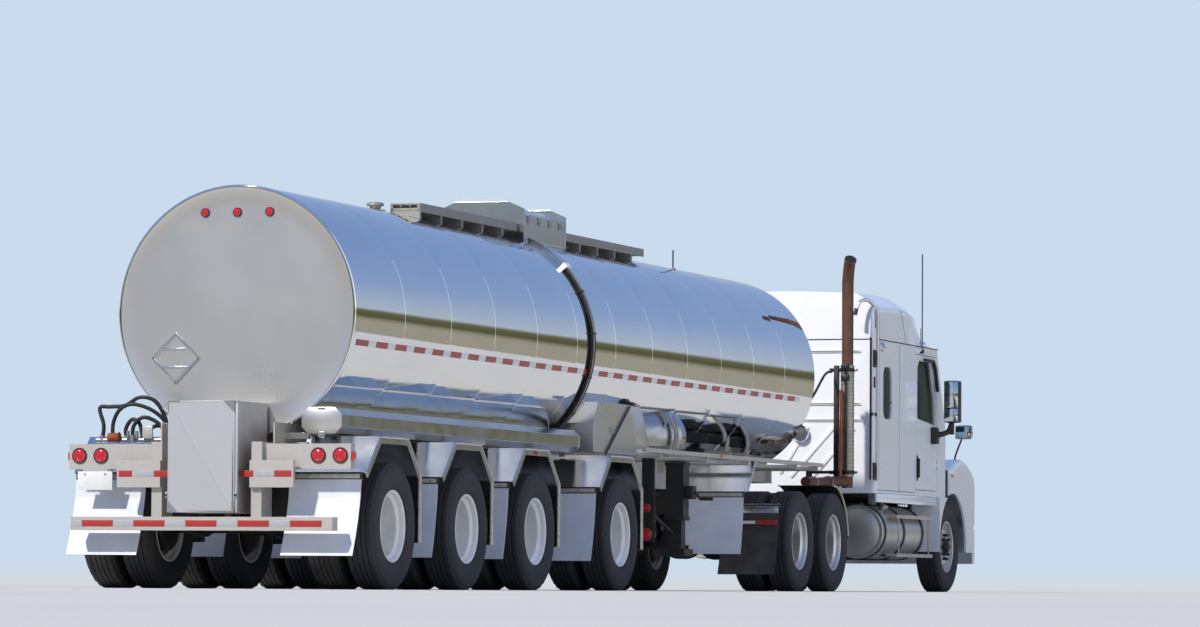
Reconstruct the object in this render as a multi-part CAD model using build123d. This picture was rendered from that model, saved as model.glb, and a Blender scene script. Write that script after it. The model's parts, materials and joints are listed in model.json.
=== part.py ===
"""Tanker truck: a sleeper-cab road tractor coupled to an insulated round tank semi-trailer on four axles.

Millimetres. x runs forward and is measured from the trailer's rearmost axle while the pieces are made,
y runs to the left and z up from the floor. Every piece is moved back by CENTRE_X as it is written, so
that the origin lies under the middle of the truck.
"""

from build123d import *
import math
import os

# Overall stations, ahead of the trailer's rearmost axle
TAIL = -1050
NOSE = 20300
CENTRE_X = (TAIL + NOSE) / 2

# Axles
TRAILER_AXLES = (0, 1830, 3665, 6140)
DRIVE_AXLES = (12270, 13590)
STEER_AXLE = 18960
KINGPIN_X = 12930
AXLE_Z = 520

# Clearances
SEAT = 0.3
RUN = 0.05
GAP = 7

# Wheels
FLATS = 22
TYRE_R = 520
BEAD_R = 290
TYRE_HALF = 137
BEAD_HALF = 104
FLANGE_R = 298
LIP_GAP = 3
BARREL_WALL = 13
DUAL_OUTER_Y = 1157
DUAL_INNER_Y = 814
STEER_Y = 1040
SPINDLE_R = 45
DRUM_R = 205

# Tank
TANK_R = 1050
TANK_BOTTOM = 1230
TANK_Z = TANK_BOTTOM + TANK_R
TANK_TOP = TANK_Z + TANK_R
TANK_REAR = -310
TANK_FRONT = 13620
TANK_DISH = 170
TANK_RIM = 14

# Trailer frame
RAIL_OUT = 500
RAIL_IN = 400
RAIL_BOTTOM = 1020
RAIL_WALL = 12
RAIL_REAR = -700
RAIL_STEP = 10600
COUPLER_Z = 1150
COUPLER_FRONT = 13700
COUPLER_REAR = 12150
COUPLER_HALF = 560
PLATE = 12
KINGPIN_R = 25.4
KINGPIN_DROP = 83

# Fenders over the trailer's axles
FENDER_IN = 650
FENDER_OUT = 1280
FENDER_SHEET = 12
FENDER_TOP = 1250
FENDER_LOW_REACH = 650
FENDER_LOW = 950
SKIRT_BOTTOM = 390

# Side rails ahead of the trailer's axles
SIDE_RAIL_Z = 1310
SIDE_RAIL_H = 40
SIDE_RAIL_W = 40
SIDE_RAIL_REAR = 6900
SIDE_RAIL_FRONT = 13150

# Rear end
POST_Y = 435
POST_HALF = 45
POST_REAR = -930
UNDERRIDE_HALF = 1140
UNDERRIDE_Z = (470, 580)
STEP_BAR_HALF = 770
STEP_BAR_Z = (820, 1040)
LAMP_BEAM_HALF = 1230
LAMP_BEAM_Z = (970, 1175)
LAMP_BEAM_X = (-880, -790)
CABINET_HALF = 290
CABINET_Z = (615, 1520)
CABINET_FRONT = -335
CABINET_WALL = 20
DOOR_SHEET = 22

# Tractor frame
CHASSIS_OUT = 430
CHASSIS_IN = 340
CHASSIS_TOP = 1000
CHASSIS_BOTTOM = 740
CHASSIS_WALL = 10
CHASSIS_REAR = 11350
CHASSIS_FRONT = 19850
FIFTH_WHEEL_R = 460
FIFTH_WHEEL_T = 45
COUPLING_GAP = 5

# Cab
CAB_REAR = 15620
CAB_FRONT = 18760
CAB_HALF = 1200
CAB_BOTTOM = 1085
CAB_TOP = 2780
CAB_WALL = 45
ROOF_WALL = 30
CAB_CORNER = 60
PILLAR_ROUND = 65
DOOR_REAR = 17320
DOOR_FRONT = 18300
DOOR_HINGE_OUT = 14
DOOR_PIN_R = 6
DOOR_KNUCKLE_R = 11
DOOR_HINGES = (1450, 2350)
DOOR_BOTTOM = 1150
DOOR_TOP = 2690
GLASS = 6

# Hood
HOOD_HINGE_X = 20150
HOOD_HINGE_Z = 800
HOOD_REAR = CAB_FRONT + 30
HOOD_WALL = 25
HOOD_HALF = 620
ARCH_R = 620
BUMPER_Z = (330, 740)
HORN_TOP = 700
GRILLE_HALF = 430
GRILLE_Z = (860, 1330)


def block(x0, x1, y0, y1, z0, z1):
    """A rectangular block between two corners."""
    return Pos((x0 + x1) / 2, (y0 + y1) / 2, (z0 + z1) / 2) * Box(x1 - x0, y1 - y0, z1 - z0)


def prism(points, direction):
    """A flat outline pushed along a direction."""
    return Solid.extrude(Face(Wire.make_polygon(points, close=True)), Vector(*direction))


def side_plate(outline, y0, y1):
    """An outline of (x, z) points, between two values of y."""
    return prism([(x, y0, z) for x, z in outline], (0, y1 - y0, 0))


def cross_plate(outline, x0, x1):
    """An outline of (y, z) points, between two values of x."""
    return prism([(x0, y, z) for y, z in outline], (x1 - x0, 0, 0))


def plan_plate(outline, z0, z1):
    """An outline of (x, y) points, between two values of z."""
    return prism([(x, y, z0) for x, y in outline], (0, 0, z1 - z0))


def rod(start, end, radius):
    """A round bar between two points."""
    run = Vector(*end) - Vector(*start)
    return extrude(Plane(origin=start, z_dir=run) * Circle(radius), amount=run.length)


def pipe(points, bends, radius, wall=0):
    """A round pipe along straight runs joined by bends."""
    route = FilletPolyline(*points, radius=bends)
    mouth = Plane(origin=route @ 0, z_dir=route % 0)
    outside = sweep(mouth * Circle(radius), path=route)
    if wall:
        outside -= sweep(mouth * Circle(radius - wall), path=route)
    return outside


def flipped(shape):
    """The same shape on the other side of the truck."""
    return mirror(shape, about=Plane.XZ)


def both(*shapes):
    """Shapes on the left, with their twins on the right."""
    return [s for shape in shapes for s in (shape, flipped(shape))]


def group(shapes):
    """Separate solids that share one node."""
    solids = []
    for shape in shapes:
        solids += list(shape.solids()) if not isinstance(shape, Solid) else [shape]
    return Compound(children=solids)


def fuse(first, *others):
    """One solid out of several that overlap."""
    return first.fuse(*others).clean() if others else first


def sheet(line, thickness):
    """The outline of a sheet whose one face follows a line of (x, z) points, mitred at its bends."""
    back = []
    for i, (x, z) in enumerate(line):
        before = line[i - 1] if i else None
        after = line[i + 1] if i + 1 < len(line) else None
        turns = []
        for a, b in ((before, (x, z)), ((x, z), after)):
            if a and b:
                run = math.hypot(b[0] - a[0], b[1] - a[1])
                turns.append(((b[1] - a[1]) / run, -(b[0] - a[0]) / run))
        nx, nz = (sum(t[k] for t in turns) / len(turns) for k in (0, 1))
        scale = thickness / (nx * nx + nz * nz)
        back.append((x + nx * scale, z + nz * scale))
    return list(line) + back[::-1]


def turned_in_flats(profile, at_x, at_z):
    """A ring about a cross axle in flats, from a closed profile of (radius to the flat, y)."""
    corner = 1 / math.cos(math.pi / FLATS)
    angles = [math.pi * (2 * i + 1) / FLATS - math.pi / 2 for i in range(FLATS)]

    def corner_at(radius, y, i):
        a = angles[i % FLATS]
        r = radius * corner
        return (at_x + r * math.cos(a), y, at_z + r * math.sin(a))

    faces = []
    for (r0, y0), (r1, y1) in zip(profile, profile[1:] + profile[:1]):
        if r0 == r1 == 0:
            continue
        if r0 == 0 or r1 == 0:
            r, y = (r1, y1) if r0 == 0 else (r0, y0)
            faces.append(Face(Wire.make_polygon([corner_at(r, y, i) for i in range(FLATS)], close=True)))
            continue
        for i in range(FLATS):
            ring = [corner_at(r0, y0, i), corner_at(r1, y1, i), corner_at(r1, y1, i + 1), corner_at(r0, y0, i + 1)]
            faces.append(Face(Wire.make_polygon(ring, close=True)))
    solid = Solid(Shell(faces))
    return solid if solid.volume > 0 else Solid(solid.wrapped.Reversed())


def tank_space(clearance=SEAT):
    """The room the barrel takes, for cutting what seats on it."""
    return rod((TANK_REAR - 500, 0, TANK_Z), (TANK_FRONT + 500, 0, TANK_Z), TANK_R + clearance)


def tank_side_z(y):
    """Height of the barrel's lower half at a distance from the middle."""
    return TANK_Z - math.sqrt(TANK_R**2 - y**2)


# The trailer


def tank():
    """The insulated barrel with a flat rear head and a dished front head."""
    knuckle_in, knuckle_out = 60, 45
    span, rise = TANK_R - knuckle_in, TANK_DISH - knuckle_out
    dish_r = (span**2 + rise**2) / (2 * rise)
    dish_x = TANK_FRONT + TANK_DISH - dish_r
    mid_x = dish_x + math.sqrt(dish_r**2 - (span / 2) ** 2)
    with BuildPart() as made:
        with BuildSketch(Plane.XZ):
            with BuildLine():
                Line((TANK_REAR, 0), (TANK_REAR, TANK_R - TANK_RIM))
                Line((TANK_REAR, TANK_R - TANK_RIM), (TANK_REAR + TANK_RIM, TANK_R))
                Line((TANK_REAR + TANK_RIM, TANK_R), (TANK_FRONT, TANK_R))
                Line((TANK_FRONT, TANK_R), (TANK_FRONT + knuckle_out, span))
                ThreePointArc(
                    (TANK_FRONT + knuckle_out, span),
                    (mid_x, span / 2),
                    (TANK_FRONT + TANK_DISH, 0),
                )
                Line((TANK_FRONT + TANK_DISH, 0), (TANK_REAR, 0))
            make_face()
        revolve(axis=Axis.X)
    barrel = Pos(0, 0, TANK_Z) * made.part.solid()
    x, y, z = AIR_LINE_ROUTE[-1]
    gladhand = block(TANK_FRONT + 40, x, y - 45, y + 45, z - 45, z + 45)
    return fuse(barrel, gladhand).solid()


MANWAY_X = (5800, 7050)
MANWAY_HALF = 420
MANWAY_RIDGE = 260
MANWAY_SIDE_Z = TANK_TOP + 220
MANWAY_TOP_Z = TANK_TOP + 290
WALKWAYS = ((3100, 5760), (7090, 9700))
WALKWAY_Y = (-360, -90)
WALKWAY_Z = (TANK_TOP + 30, TANK_TOP + 80)


def top_deck():
    """The manway cover box with its end plates, and the two walkway planks beside it."""
    shape = [
        (-MANWAY_HALF, TANK_Z),
        (MANWAY_HALF, TANK_Z),
        (MANWAY_HALF, MANWAY_SIDE_Z),
        (MANWAY_RIDGE, MANWAY_TOP_Z),
        (-MANWAY_RIDGE, MANWAY_TOP_Z),
        (-MANWAY_HALF, MANWAY_SIDE_Z),
    ]
    x0, x1 = MANWAY_X
    lid_drop = 45
    body = [(y, min(z, MANWAY_TOP_Z - lid_drop)) for y, z in shape]
    body = [(y * 0.97, z - (lid_drop if z >= MANWAY_SIDE_Z and abs(y) == MANWAY_HALF else 0)) for y, z in body]
    box = fuse(cross_plate(shape, x0, x0 + 25), cross_plate(body, x0 + 20, x1 - 20), cross_plate(shape, x1 - 25, x1))
    parts = [box - tank_space()]
    for a, b in WALKWAYS:
        y0, y1 = WALKWAY_Y
        z0, z1 = WALKWAY_Z
        edges = [block(a, b, y0, y0 + 20, z0, z1), block(a, b, y1 - 20, y1, z0, z1)]
        count = round((b - a) / 190)
        bars = [a + 30 + i * (b - a - 60) / count for i in range(count + 1)]
        slats = [block(x - 30, x + 30, y0 + 5, y1 - 5, z1 - 12, z1) for x in bars]
        feet = [block(x - 20, x + 20, y0, y1, TANK_Z, z0 + 10) for x in bars[:: max(count // 4, 1)]]
        parts.append(fuse(edges[0], edges[1], *slats, *feet) - tank_space())
    return group(parts)


SADDLE_HALF = 640
SADDLES = (40, 2750, 4900, 7600, 9800, 11900)
CROSS_MEMBERS = (-230, 915, 2745, 4900, 7200, 8980, 10300)
OUTRIGGERS = (7450, 8980, 10420, 12200, 13000)
ARM_Y = 450
ARM_HALF = 45
HANGER_AHEAD = 520
PIVOT_Z = 590
PIVOT_R = 20
CHEEK = 12


def hanger(axle_x, y, top_z, half):
    """Two cheeks under a rail that hold the pin of a suspension arm."""
    x = axle_x + HANGER_AHEAD
    outline = [(x - 90, top_z), (x + 90, top_z), (x + 50, PIVOT_Z - 60), (x - 50, PIVOT_Z - 60)]
    hole = rod((x, y - half - 40, PIVOT_Z), (x, y + half + 40, PIVOT_Z), PIVOT_R + SEAT)
    cheeks = [side_plate(outline, y + s * (half + 3), y + s * (half + 3 + CHEEK)) - hole for s in (-1, 1)]
    return cheeks


def rail_outline(bottom, flange):
    """A channel's section as (y, z), open towards the middle and cut by the barrel above."""
    top = tank_side_z(RAIL_OUT) + 5
    return [
        (RAIL_OUT, bottom),
        (RAIL_OUT, top),
        (RAIL_OUT - RAIL_WALL, top),
        (RAIL_OUT - RAIL_WALL, bottom + RAIL_WALL),
        (flange, bottom + RAIL_WALL),
        (flange, bottom),
    ]


def trailer_frame():
    """The rails, saddles, cross members, suspension hangers, upper coupler and kingpin, welded together."""
    rear = cross_plate(rail_outline(RAIL_BOTTOM, RAIL_IN), RAIL_REAR, RAIL_STEP)
    front = cross_plate(rail_outline(COUPLER_Z, RAIL_IN), RAIL_STEP - 1, COUPLER_FRONT)
    pieces = [rear - tank_space(), front - tank_space()]
    for axle in TRAILER_AXLES:
        pieces += hanger(axle, ARM_Y, RAIL_BOTTOM + 5, ARM_HALF)
    for x in OUTRIGGERS:
        z = SIDE_RAIL_Z - 20
        pieces.append(rod((x, RAIL_OUT - 5, z), (x, FENDER_OUT - 20, z), 25))
    pieces.append(
        block(
            SIDE_RAIL_REAR,
            SIDE_RAIL_FRONT,
            FENDER_OUT - SIDE_RAIL_W,
            FENDER_OUT,
            SIDE_RAIL_Z,
            SIDE_RAIL_Z + SIDE_RAIL_H,
        )
    )
    halves = both(*pieces)
    across = []
    for x in CROSS_MEMBERS:
        across.append(block(x - 40, x + 40, -RAIL_OUT + 5, RAIL_OUT - 5, RAIL_BOTTOM + 30, 1200))
    saddle = [(-SADDLE_HALF, tank_side_z(SADDLE_HALF)), (-560, 1180), (560, 1180), (SADDLE_HALF, tank_side_z(SADDLE_HALF))]
    for x in SADDLES:
        across.append(cross_plate(saddle, x - 20, x + 20) - tank_space())
    plate = block(
        COUPLER_REAR, COUPLER_FRONT, -COUPLER_HALF, COUPLER_HALF, COUPLER_Z, COUPLER_Z + PLATE
    )
    for x in (COUPLER_REAR + 40, KINGPIN_X, COUPLER_FRONT - 40):
        across.append(block(x - 20, x + 20, -COUPLER_HALF, COUPLER_HALF, COUPLER_Z, 1300) - tank_space())
    pin = rod((KINGPIN_X, 0, COUPLER_Z + 5), (KINGPIN_X, 0, COUPLER_Z - KINGPIN_DROP), KINGPIN_R)
    return fuse(halves[0], *halves[1:], *across, plate, pin)


def axle_with_arms(x, y, top_z, tube_r, spindle_to, half=ARM_HALF):
    """A cross axle on two trailing arms, each with an air spring under the rail."""
    beam = rod((x, -640, AXLE_Z), (x, 640, AXLE_Z), tube_r)
    spindle = rod((x, -spindle_to, AXLE_Z), (x, spindle_to, AXLE_Z), SPINDLE_R)
    arms = []
    ahead = HANGER_AHEAD
    outline = [
        (x + ahead + 45, PIVOT_Z - 45),
        (x + ahead + 45, PIVOT_Z + 45),
        (x + 110, AXLE_Z + 100),
        (x - 450, AXLE_Z + 20),
        (x - 450, AXLE_Z - 30),
        (x + 110, AXLE_Z - 90),
    ]
    for s in (-1, 1):
        yc = s * y
        arm = side_plate(outline, yc - half, yc + half)
        pin = rod((x + ahead, yc - half - 16, PIVOT_Z), (x + ahead, yc + half + 16, PIVOT_Z), PIVOT_R)
        spring = rod((x - 330, yc, AXLE_Z), (x - 330, yc, top_z - SEAT), 125)
        arms += [arm, pin, spring]
    return fuse(beam, spindle, *arms)


def trailer_axles():
    """The four trailer axles with their arms and air springs."""
    end = DUAL_OUTER_Y - 115
    return group([axle_with_arms(x, ARM_Y, RAIL_BOTTOM, 63, end) for x in TRAILER_AXLES])


def fender_line(axle_x):
    """The half hexagon over a wheel with the skirt ahead of it, as (x, z), from the rear end forward."""
    low, top = FENDER_LOW_REACH, 330
    return [
        (axle_x - low, FENDER_LOW),
        (axle_x - top, FENDER_TOP),
        (axle_x + top, FENDER_TOP),
        (axle_x + low, FENDER_LOW),
        (axle_x + low, SKIRT_BOTTOM),
    ]


SPLASH_X = 10300
SPLASH_Z = 1000


def trailer_fenders():
    """Half-hexagon fenders over each axle, with side trims, and the splash guards ahead of the stand."""
    made = []
    for axle in TRAILER_AXLES:
        line = fender_line(axle)
        shell = side_plate(sheet(line, FENDER_SHEET), FENDER_IN, FENDER_OUT)
        trim = side_plate(sheet(line, 60), FENDER_OUT - FENDER_SHEET, FENDER_OUT)
        stays = [
            rod((axle + dx, RAIL_OUT + SEAT, 1180), (axle + dx, FENDER_IN + 30, 1180), 22) for dx in (-380, 380)
        ]
        made.append(fuse(shell, trim, *stays))
    splash = [(SPLASH_X, SPLASH_Z), (SPLASH_X + 260, SIDE_RAIL_Z - SEAT), (SPLASH_X + 420, SIDE_RAIL_Z - SEAT)]
    guard = side_plate(sheet(splash, FENDER_SHEET), FENDER_IN - 150 + SEAT, FENDER_OUT)
    made.append(guard)
    return group(both(*made))


FLAP_Y = (630, 1250)
FLAP_T = 8


def flap(seat_x, top, bottom, y0, y1, lean):
    """A rubber flap under a bar whose front face is at seat_x, blown back in a gentle curve."""
    drop = top - bottom
    x = seat_x - 30
    steps = 4
    line = []
    for i in range(steps + 1):
        f = i / steps
        line.append((x - lean * f**1.6, top - drop * f))
    hung = side_plate(sheet(line, FLAP_T), y0, y1)
    bar = block(x - 12, seat_x, y0, y1, top - 5, top + 55)
    return fuse(hung, bar)


def trailer_flaps():
    """A flap behind each fender and behind each splash guard, hung from bars on the fender ends."""
    made = []
    for axle in TRAILER_AXLES:
        x = axle - FENDER_LOW_REACH - SEAT
        y0, y1 = FLAP_Y
        made.append(flap(x, 895, 270, y0, y1, 200 if axle == TRAILER_AXLES[0] else 140))
    made.append(flap(SPLASH_X - SEAT, SPLASH_Z - 55, 370, FLAP_Y[0], FLAP_Y[1], 100))
    return group(both(*made))


PLATE_HOLES = {"y": 1000, "spacing": 177.8, "z": 930, "r": 3.5}


def rear_bumper():
    """The underride bar, the upper step bar, their posts and the two lamp beams, welded together."""
    under = block(TAIL, POST_REAR + 1, -UNDERRIDE_HALF, UNDERRIDE_HALF, *UNDERRIDE_Z)
    pieces = [under]
    for s in (-1, 1):
        a, b = sorted((s * (POST_Y - POST_HALF), s * (POST_Y + POST_HALF)))
        pieces.append(block(POST_REAR, RAIL_REAR - SEAT, a, b, UNDERRIDE_Z[0], 1190))
        a, b = sorted((s * (POST_Y - POST_HALF), s * STEP_BAR_HALF))
        pieces.append(block(POST_REAR - 40, POST_REAR + 1, a, b, *STEP_BAR_Z))
        a, b = sorted((s * (POST_Y + POST_HALF - 1), s * LAMP_BEAM_HALF))
        pieces.append(block(*LAMP_BEAM_X, a, b, *LAMP_BEAM_Z))
    p = PLATE_HOLES
    half = p["spacing"] / 2
    x0 = LAMP_BEAM_X[0]
    pieces.append(block(x0, x0 + 6, p["y"] - half - 20, p["y"] + half + 20, p["z"] - 25, LAMP_BEAM_Z[0] + 1))
    made = fuse(pieces[0], *pieces[1:])
    for dy in (-half, half):
        made -= rod((x0 - 5, p["y"] + dy, p["z"]), (x0 + 12, p["y"] + dy, p["z"]), p["r"])
    return made


LAMP_R = 62
LAMP_Y = (950, 1140)
LAMP_Z = 1080
HEAD_LAMP_Z = TANK_TOP - 230


def trailer_lamps():
    """Round lamps in the rear beams, markers on the rear head and at the sides."""
    made = []
    for y in LAMP_Y:
        for s in (-1, 1):
            x = LAMP_BEAM_X[0] - SEAT
            made.append(rod((x - 22, s * y, LAMP_Z), (x, s * y, LAMP_Z), LAMP_R))
    for y in (-285, 0, 285):
        made.append(rod((TANK_REAR - 22, y, HEAD_LAMP_Z), (TANK_REAR - SEAT, y, HEAD_LAMP_Z), 40))
    for s in (-1, 1):
        a, b = sorted((s * (LAMP_BEAM_HALF + SEAT), s * (LAMP_BEAM_HALF + 22)))
        made.append(block(LAMP_BEAM_X[0] + 15, LAMP_BEAM_X[1] - 15, a, b, 1045, 1105))
    return group(made)


def rear_cabinet():
    """The open-backed equipment cabinet between the rear posts, with its hinge pin."""
    x0, x1 = TAIL + DOOR_SHEET + 5, CABINET_FRONT
    z0, z1 = CABINET_Z
    w = CABINET_WALL
    shell = block(x0, x1, -CABINET_HALF, CABINET_HALF, z0, z1)
    shell -= block(x0 - 10, x1 - w, -CABINET_HALF + w, CABINET_HALF - w, z0 + w, z1 - w)
    foot = block(-560, -420, -RAIL_OUT + RAIL_WALL + SEAT, -CABINET_HALF + 1, 1060, 1160)
    x, y = CABINET_HINGE
    pin = rod((x, y, z0), (x, y, z1), CABINET_PIN_R)
    lugs = []
    for a in (z0, z1 - 14):
        lugs.append(rod((x, y, a), (x, y, a + 14), 9))
        lugs.append(block(x, x0 + 30, y - 9, y - 1, a, a + 14))
        lugs.append(block(x0 + 1, x0 + 30, y - 9, 1 - CABINET_HALF, a, a + 14))
    return fuse(shell, foot, flipped(foot), pin, *lugs)


CABINET_HINGE = (TAIL + 11, -CABINET_HALF - 16)
CABINET_PIN_R = 5


def cabinet_door():
    """The cabinet's flat door, with its hinge knuckles along the right-hand edge."""
    z0, z1 = CABINET_Z
    leaf = block(TAIL, TAIL + DOOR_SHEET, -CABINET_HALF, CABINET_HALF, z0, z1)
    x, y = CABINET_HINGE
    hinge = fuse(rod((x, y, z0 + 20), (x, y, z1 - 20), 11), block(x - 5, x + 5, y, y + 30, z0 + 20, z1 - 20))
    return fuse(leaf, hinge) - rod((x, y, z0 - 5), (x, y, z1 + 5), CABINET_PIN_R + RUN)


LEG_X = 8980
LEG_Y = 950


def landing_gear():
    """Two square telescopic legs with feet, a cross shaft, braces and the crank on the right."""
    pieces = []
    for s in (-1, 1):
        y = s * LEG_Y
        pieces.append(block(LEG_X - 95, LEG_X + 95, y - 90, y + 90, 700, 1262))
        pieces.append(block(LEG_X - 65, LEG_X + 65, y - 65, y + 65, 400, 720))
        pieces.append(block(LEG_X - 150, LEG_X + 150, y - 120, y + 120, 340, 410))
        pieces.append(rod((LEG_X, y, 520), (LEG_X - 700, s * (RAIL_OUT + 40), 1080), 22))
        pieces.append(
            block(LEG_X - 760, LEG_X - 640, *sorted((s * (RAIL_OUT + SEAT), s * (RAIL_OUT + 60))), 1040, 1120)
        )
    pieces.append(rod((LEG_X, -LEG_Y - 200, 960), (LEG_X, LEG_Y, 960), 18))
    pieces.append(rod((LEG_X, -LEG_Y - 190, 960), (LEG_X + 160, -LEG_Y - 190, 900), 14))
    pieces.append(rod((LEG_X + 150, -LEG_Y - 190, 904), (LEG_X + 150, -LEG_Y - 320, 904), 16))
    return fuse(pieces[0], *pieces[1:])


HOSE_TUBE = {"x": (-450, 5760), "y": -815, "z": 1375, "half_y": 170, "half_z": 105, "chamfer": 55}


def side_boxes():
    """The eight-sided hose tube along the right side, and the cabinet ahead of it."""
    t = HOSE_TUBE
    ym, zm, hy, hz, c = t["y"], t["z"], t["half_y"], t["half_z"], t["chamfer"]
    eight = [
        (ym - hy, zm - hz + c),
        (ym - hy, zm + hz - c),
        (ym - hy + c, zm + hz),
        (ym + hy - c, zm + hz),
        (ym + hy, zm + hz - c),
        (ym + hy, zm - hz + c),
        (ym + hy - c, zm - hz),
        (ym - hy + c, zm - hz),
    ]
    tube = cross_plate(eight, *t["x"])
    straps = []
    for x in (-430, 915, 2600, 5000):
        straps.append(block(x - 25, x + 25, -700, -RAIL_OUT - SEAT, 1225, 1275))
    tube = fuse(tube, *straps)
    belly = [(6030, 1290), (7350, 1290), (7350, 1420), (7100, 1760), (6160, 1760), (6030, 1560)]
    box = side_plate(belly, -1040, -RAIL_OUT - SEAT) - tank_space(3 * SEAT)
    return group([tube, box])


def trailer_pipes():
    """Drain pipes round the barrel's right side, and the looped hoses at the rear."""
    pieces = []
    for x, r in ((5905, 26), (5965, 26)):
        a0, a1 = math.radians(62), math.radians(-36)
        ring = TANK_R + r + 6
        mid = (a0 + a1) / 2
        pts = [(x, -ring * math.cos(a), TANK_Z + ring * math.sin(a)) for a in (a0, mid, a1)]
        arc = ThreePointArc(*pts)
        pieces.append(sweep(Plane(origin=arc @ 0, z_dir=arc % 0) * Circle(r), path=arc))
    clamps = []
    for deg in (55, 20, -8, -30):
        a = math.radians(deg)
        n = (-math.cos(a), math.sin(a))
        inner, outer = TANK_R + 2 * SEAT, TANK_R + 70
        t = (-math.sin(a), -math.cos(a))
        quad = [
            (n[0] * r + t[0] * w, TANK_Z + n[1] * r + t[1] * w)
            for r, w in ((inner, -20), (outer, -20), (outer, 20), (inner, 20))
        ]
        clamps.append(cross_plate(quad, 5870, 6000))
    band = fuse(pieces[0], pieces[1], *clamps)
    hoses = []
    for route in REAR_HOSES:
        points = [(HOSE_X, y, z) for y, z in route]
        hoses.append(pipe(points, 45, 17))
    bar = rod((HOSE_X, RAIL_OUT + SEAT, HOSE_BAR_Z), (HOSE_X, 1110, HOSE_BAR_Z), 20)
    return group([band - tank_space(), fuse(bar, *hoses)])


HOSE_X = -600
HOSE_BAR_Z = 1215
REAR_HOSES = (
    ((1060, HOSE_BAR_Z), (1095, 1500), (930, 1545), (700, 1530), (640, HOSE_BAR_Z)),
    ((960, HOSE_BAR_Z), (960, 1430), (820, 1470), (740, HOSE_BAR_Z)),
)


# Wheels


def dual_rims(side, x):
    """Two dished wheels bolted back to back on a hub and drum, for one end of an axle."""
    out, inn = DUAL_OUTER_Y, DUAL_INNER_Y
    mate = (out + inn) / 2
    barrel, inside = BEAD_R - SEAT, BEAD_R - BARREL_WALL
    lip = BEAD_HALF + LIP_GAP
    profile = [
        (0, out - 60),
        (68, out - 60),
        (75, mate + 15),
        (205, mate + 15),
        (inside, out - 95),
        (inside, out + lip + 7),
        (FLANGE_R, out + lip + 7),
        (FLANGE_R, out + lip),
        (barrel, out + lip),
        (barrel, out - lip),
        (225, mate),
        (barrel, inn + lip),
        (barrel, inn - lip),
        (inside, inn - lip),
        (inside, inn + 90),
        (DRUM_R, mate - 15),
        (DRUM_R, inn - lip - 15),
        (SPINDLE_R + RUN, inn - lip - 15),
        (SPINDLE_R + RUN, out - 110),
        (0, out - 110),
    ]
    return turned_in_flats([(r, side * y) for r, y in profile], x, AXLE_Z)


def dual_tyres(side, x):
    """The outer and inner tyre of a pair."""
    w, b = TYRE_HALF, BEAD_HALF
    outer = [(BEAD_R, -b), (TYRE_R, -b - 14), (TYRE_R, b - 6), (TYRE_R - 24, w - 9), (400, w), (BEAD_R, b)]
    inner = [(BEAD_R, -b), (TYRE_R, -b - 14), (TYRE_R, b + 14), (BEAD_R, b)]
    rings = [
        [(r, side * (DUAL_OUTER_Y + y)) for r, y in outer],
        [(r, side * (DUAL_INNER_Y + y)) for r, y in inner],
    ]
    return group([turned_in_flats(ring, x, AXLE_Z) for ring in rings])


def steer_rim(side):
    """The single steered wheel's disc, rim, hub and drum."""
    c = STEER_Y
    barrel, inside = BEAD_R - SEAT, BEAD_R - BARREL_WALL
    lip = BEAD_HALF + LIP_GAP
    profile = [
        (0, c + 145),
        (72, c + 145),
        (82, c + 82),
        (225, c + 82),
        (inside, c + 45),
        (inside, c + lip + 7),
        (FLANGE_R, c + lip + 7),
        (FLANGE_R, c + lip),
        (barrel, c + lip),
        (barrel, c - lip),
        (inside, c - lip),
        (inside, c + 30),
        (DRUM_R, c + 60),
        (DRUM_R, c - 85),
        (SPINDLE_R + RUN, c - 85),
        (SPINDLE_R + RUN, c + 110),
        (0, c + 110),
    ]
    return turned_in_flats([(r, side * y) for r, y in profile], STEER_AXLE, AXLE_Z)


def steer_tyre(side):
    """The single steered tyre."""
    w, b = TYRE_HALF, BEAD_HALF
    outer = [(BEAD_R, -b), (TYRE_R, -b - 14), (TYRE_R, b - 6), (TYRE_R - 24, w - 9), (400, w), (BEAD_R, b)]
    return turned_in_flats([(r, side * (STEER_Y + y)) for r, y in outer], STEER_AXLE, AXLE_Z)


# The tractor


def tractor_frame():
    """Two channel rails with cross members, suspension hangers, the deck behind the cab and flap bars."""
    w, top, low = CHASSIS_WALL, CHASSIS_TOP, CHASSIS_BOTTOM
    section = [
        (CHASSIS_OUT, low),
        (CHASSIS_OUT, top),
        (CHASSIS_IN, top),
        (CHASSIS_IN, top - w),
        (CHASSIS_OUT - w, top - w),
        (CHASSIS_OUT - w, low + w),
        (CHASSIS_IN, low + w),
        (CHASSIS_IN, low),
    ]
    half = [cross_plate(section, CHASSIS_REAR, CHASSIS_FRONT)]
    for axle in DRIVE_AXLES:
        half += hanger(axle, CHASSIS_Y, low + 3, DRIVE_ARM_HALF)
    x, z = FLAP_BAR_X, FLAP_BAR_Z
    half.append(rod((x, CHASSIS_OUT - 5, z), (x, 1270, z), FLAP_BAR_R))
    pieces = both(*half)
    for x in (11420, 12930, 14250, 15900, 16700):
        pieces.append(block(x - 30, x + 30, -CHASSIS_OUT + 5, CHASSIS_OUT - 5, low + 40, top - 20))
    pieces.append(block(14420, 15500, -600, 600, top - 1, top + 30))
    inside = CHASSIS_OUT - 5
    pieces.append(block(CHASSIS_FRONT - 60, CHASSIS_FRONT, -inside, inside, low + 5, FRONT_MEMBER_TOP))
    return fuse(pieces[0], *pieces[1:])


CHASSIS_Y = 385
FLAP_BAR_X = 11560
FLAP_BAR_Z = 870
FLAP_BAR_R = 20
DRIVE_ARM_HALF = 35


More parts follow.
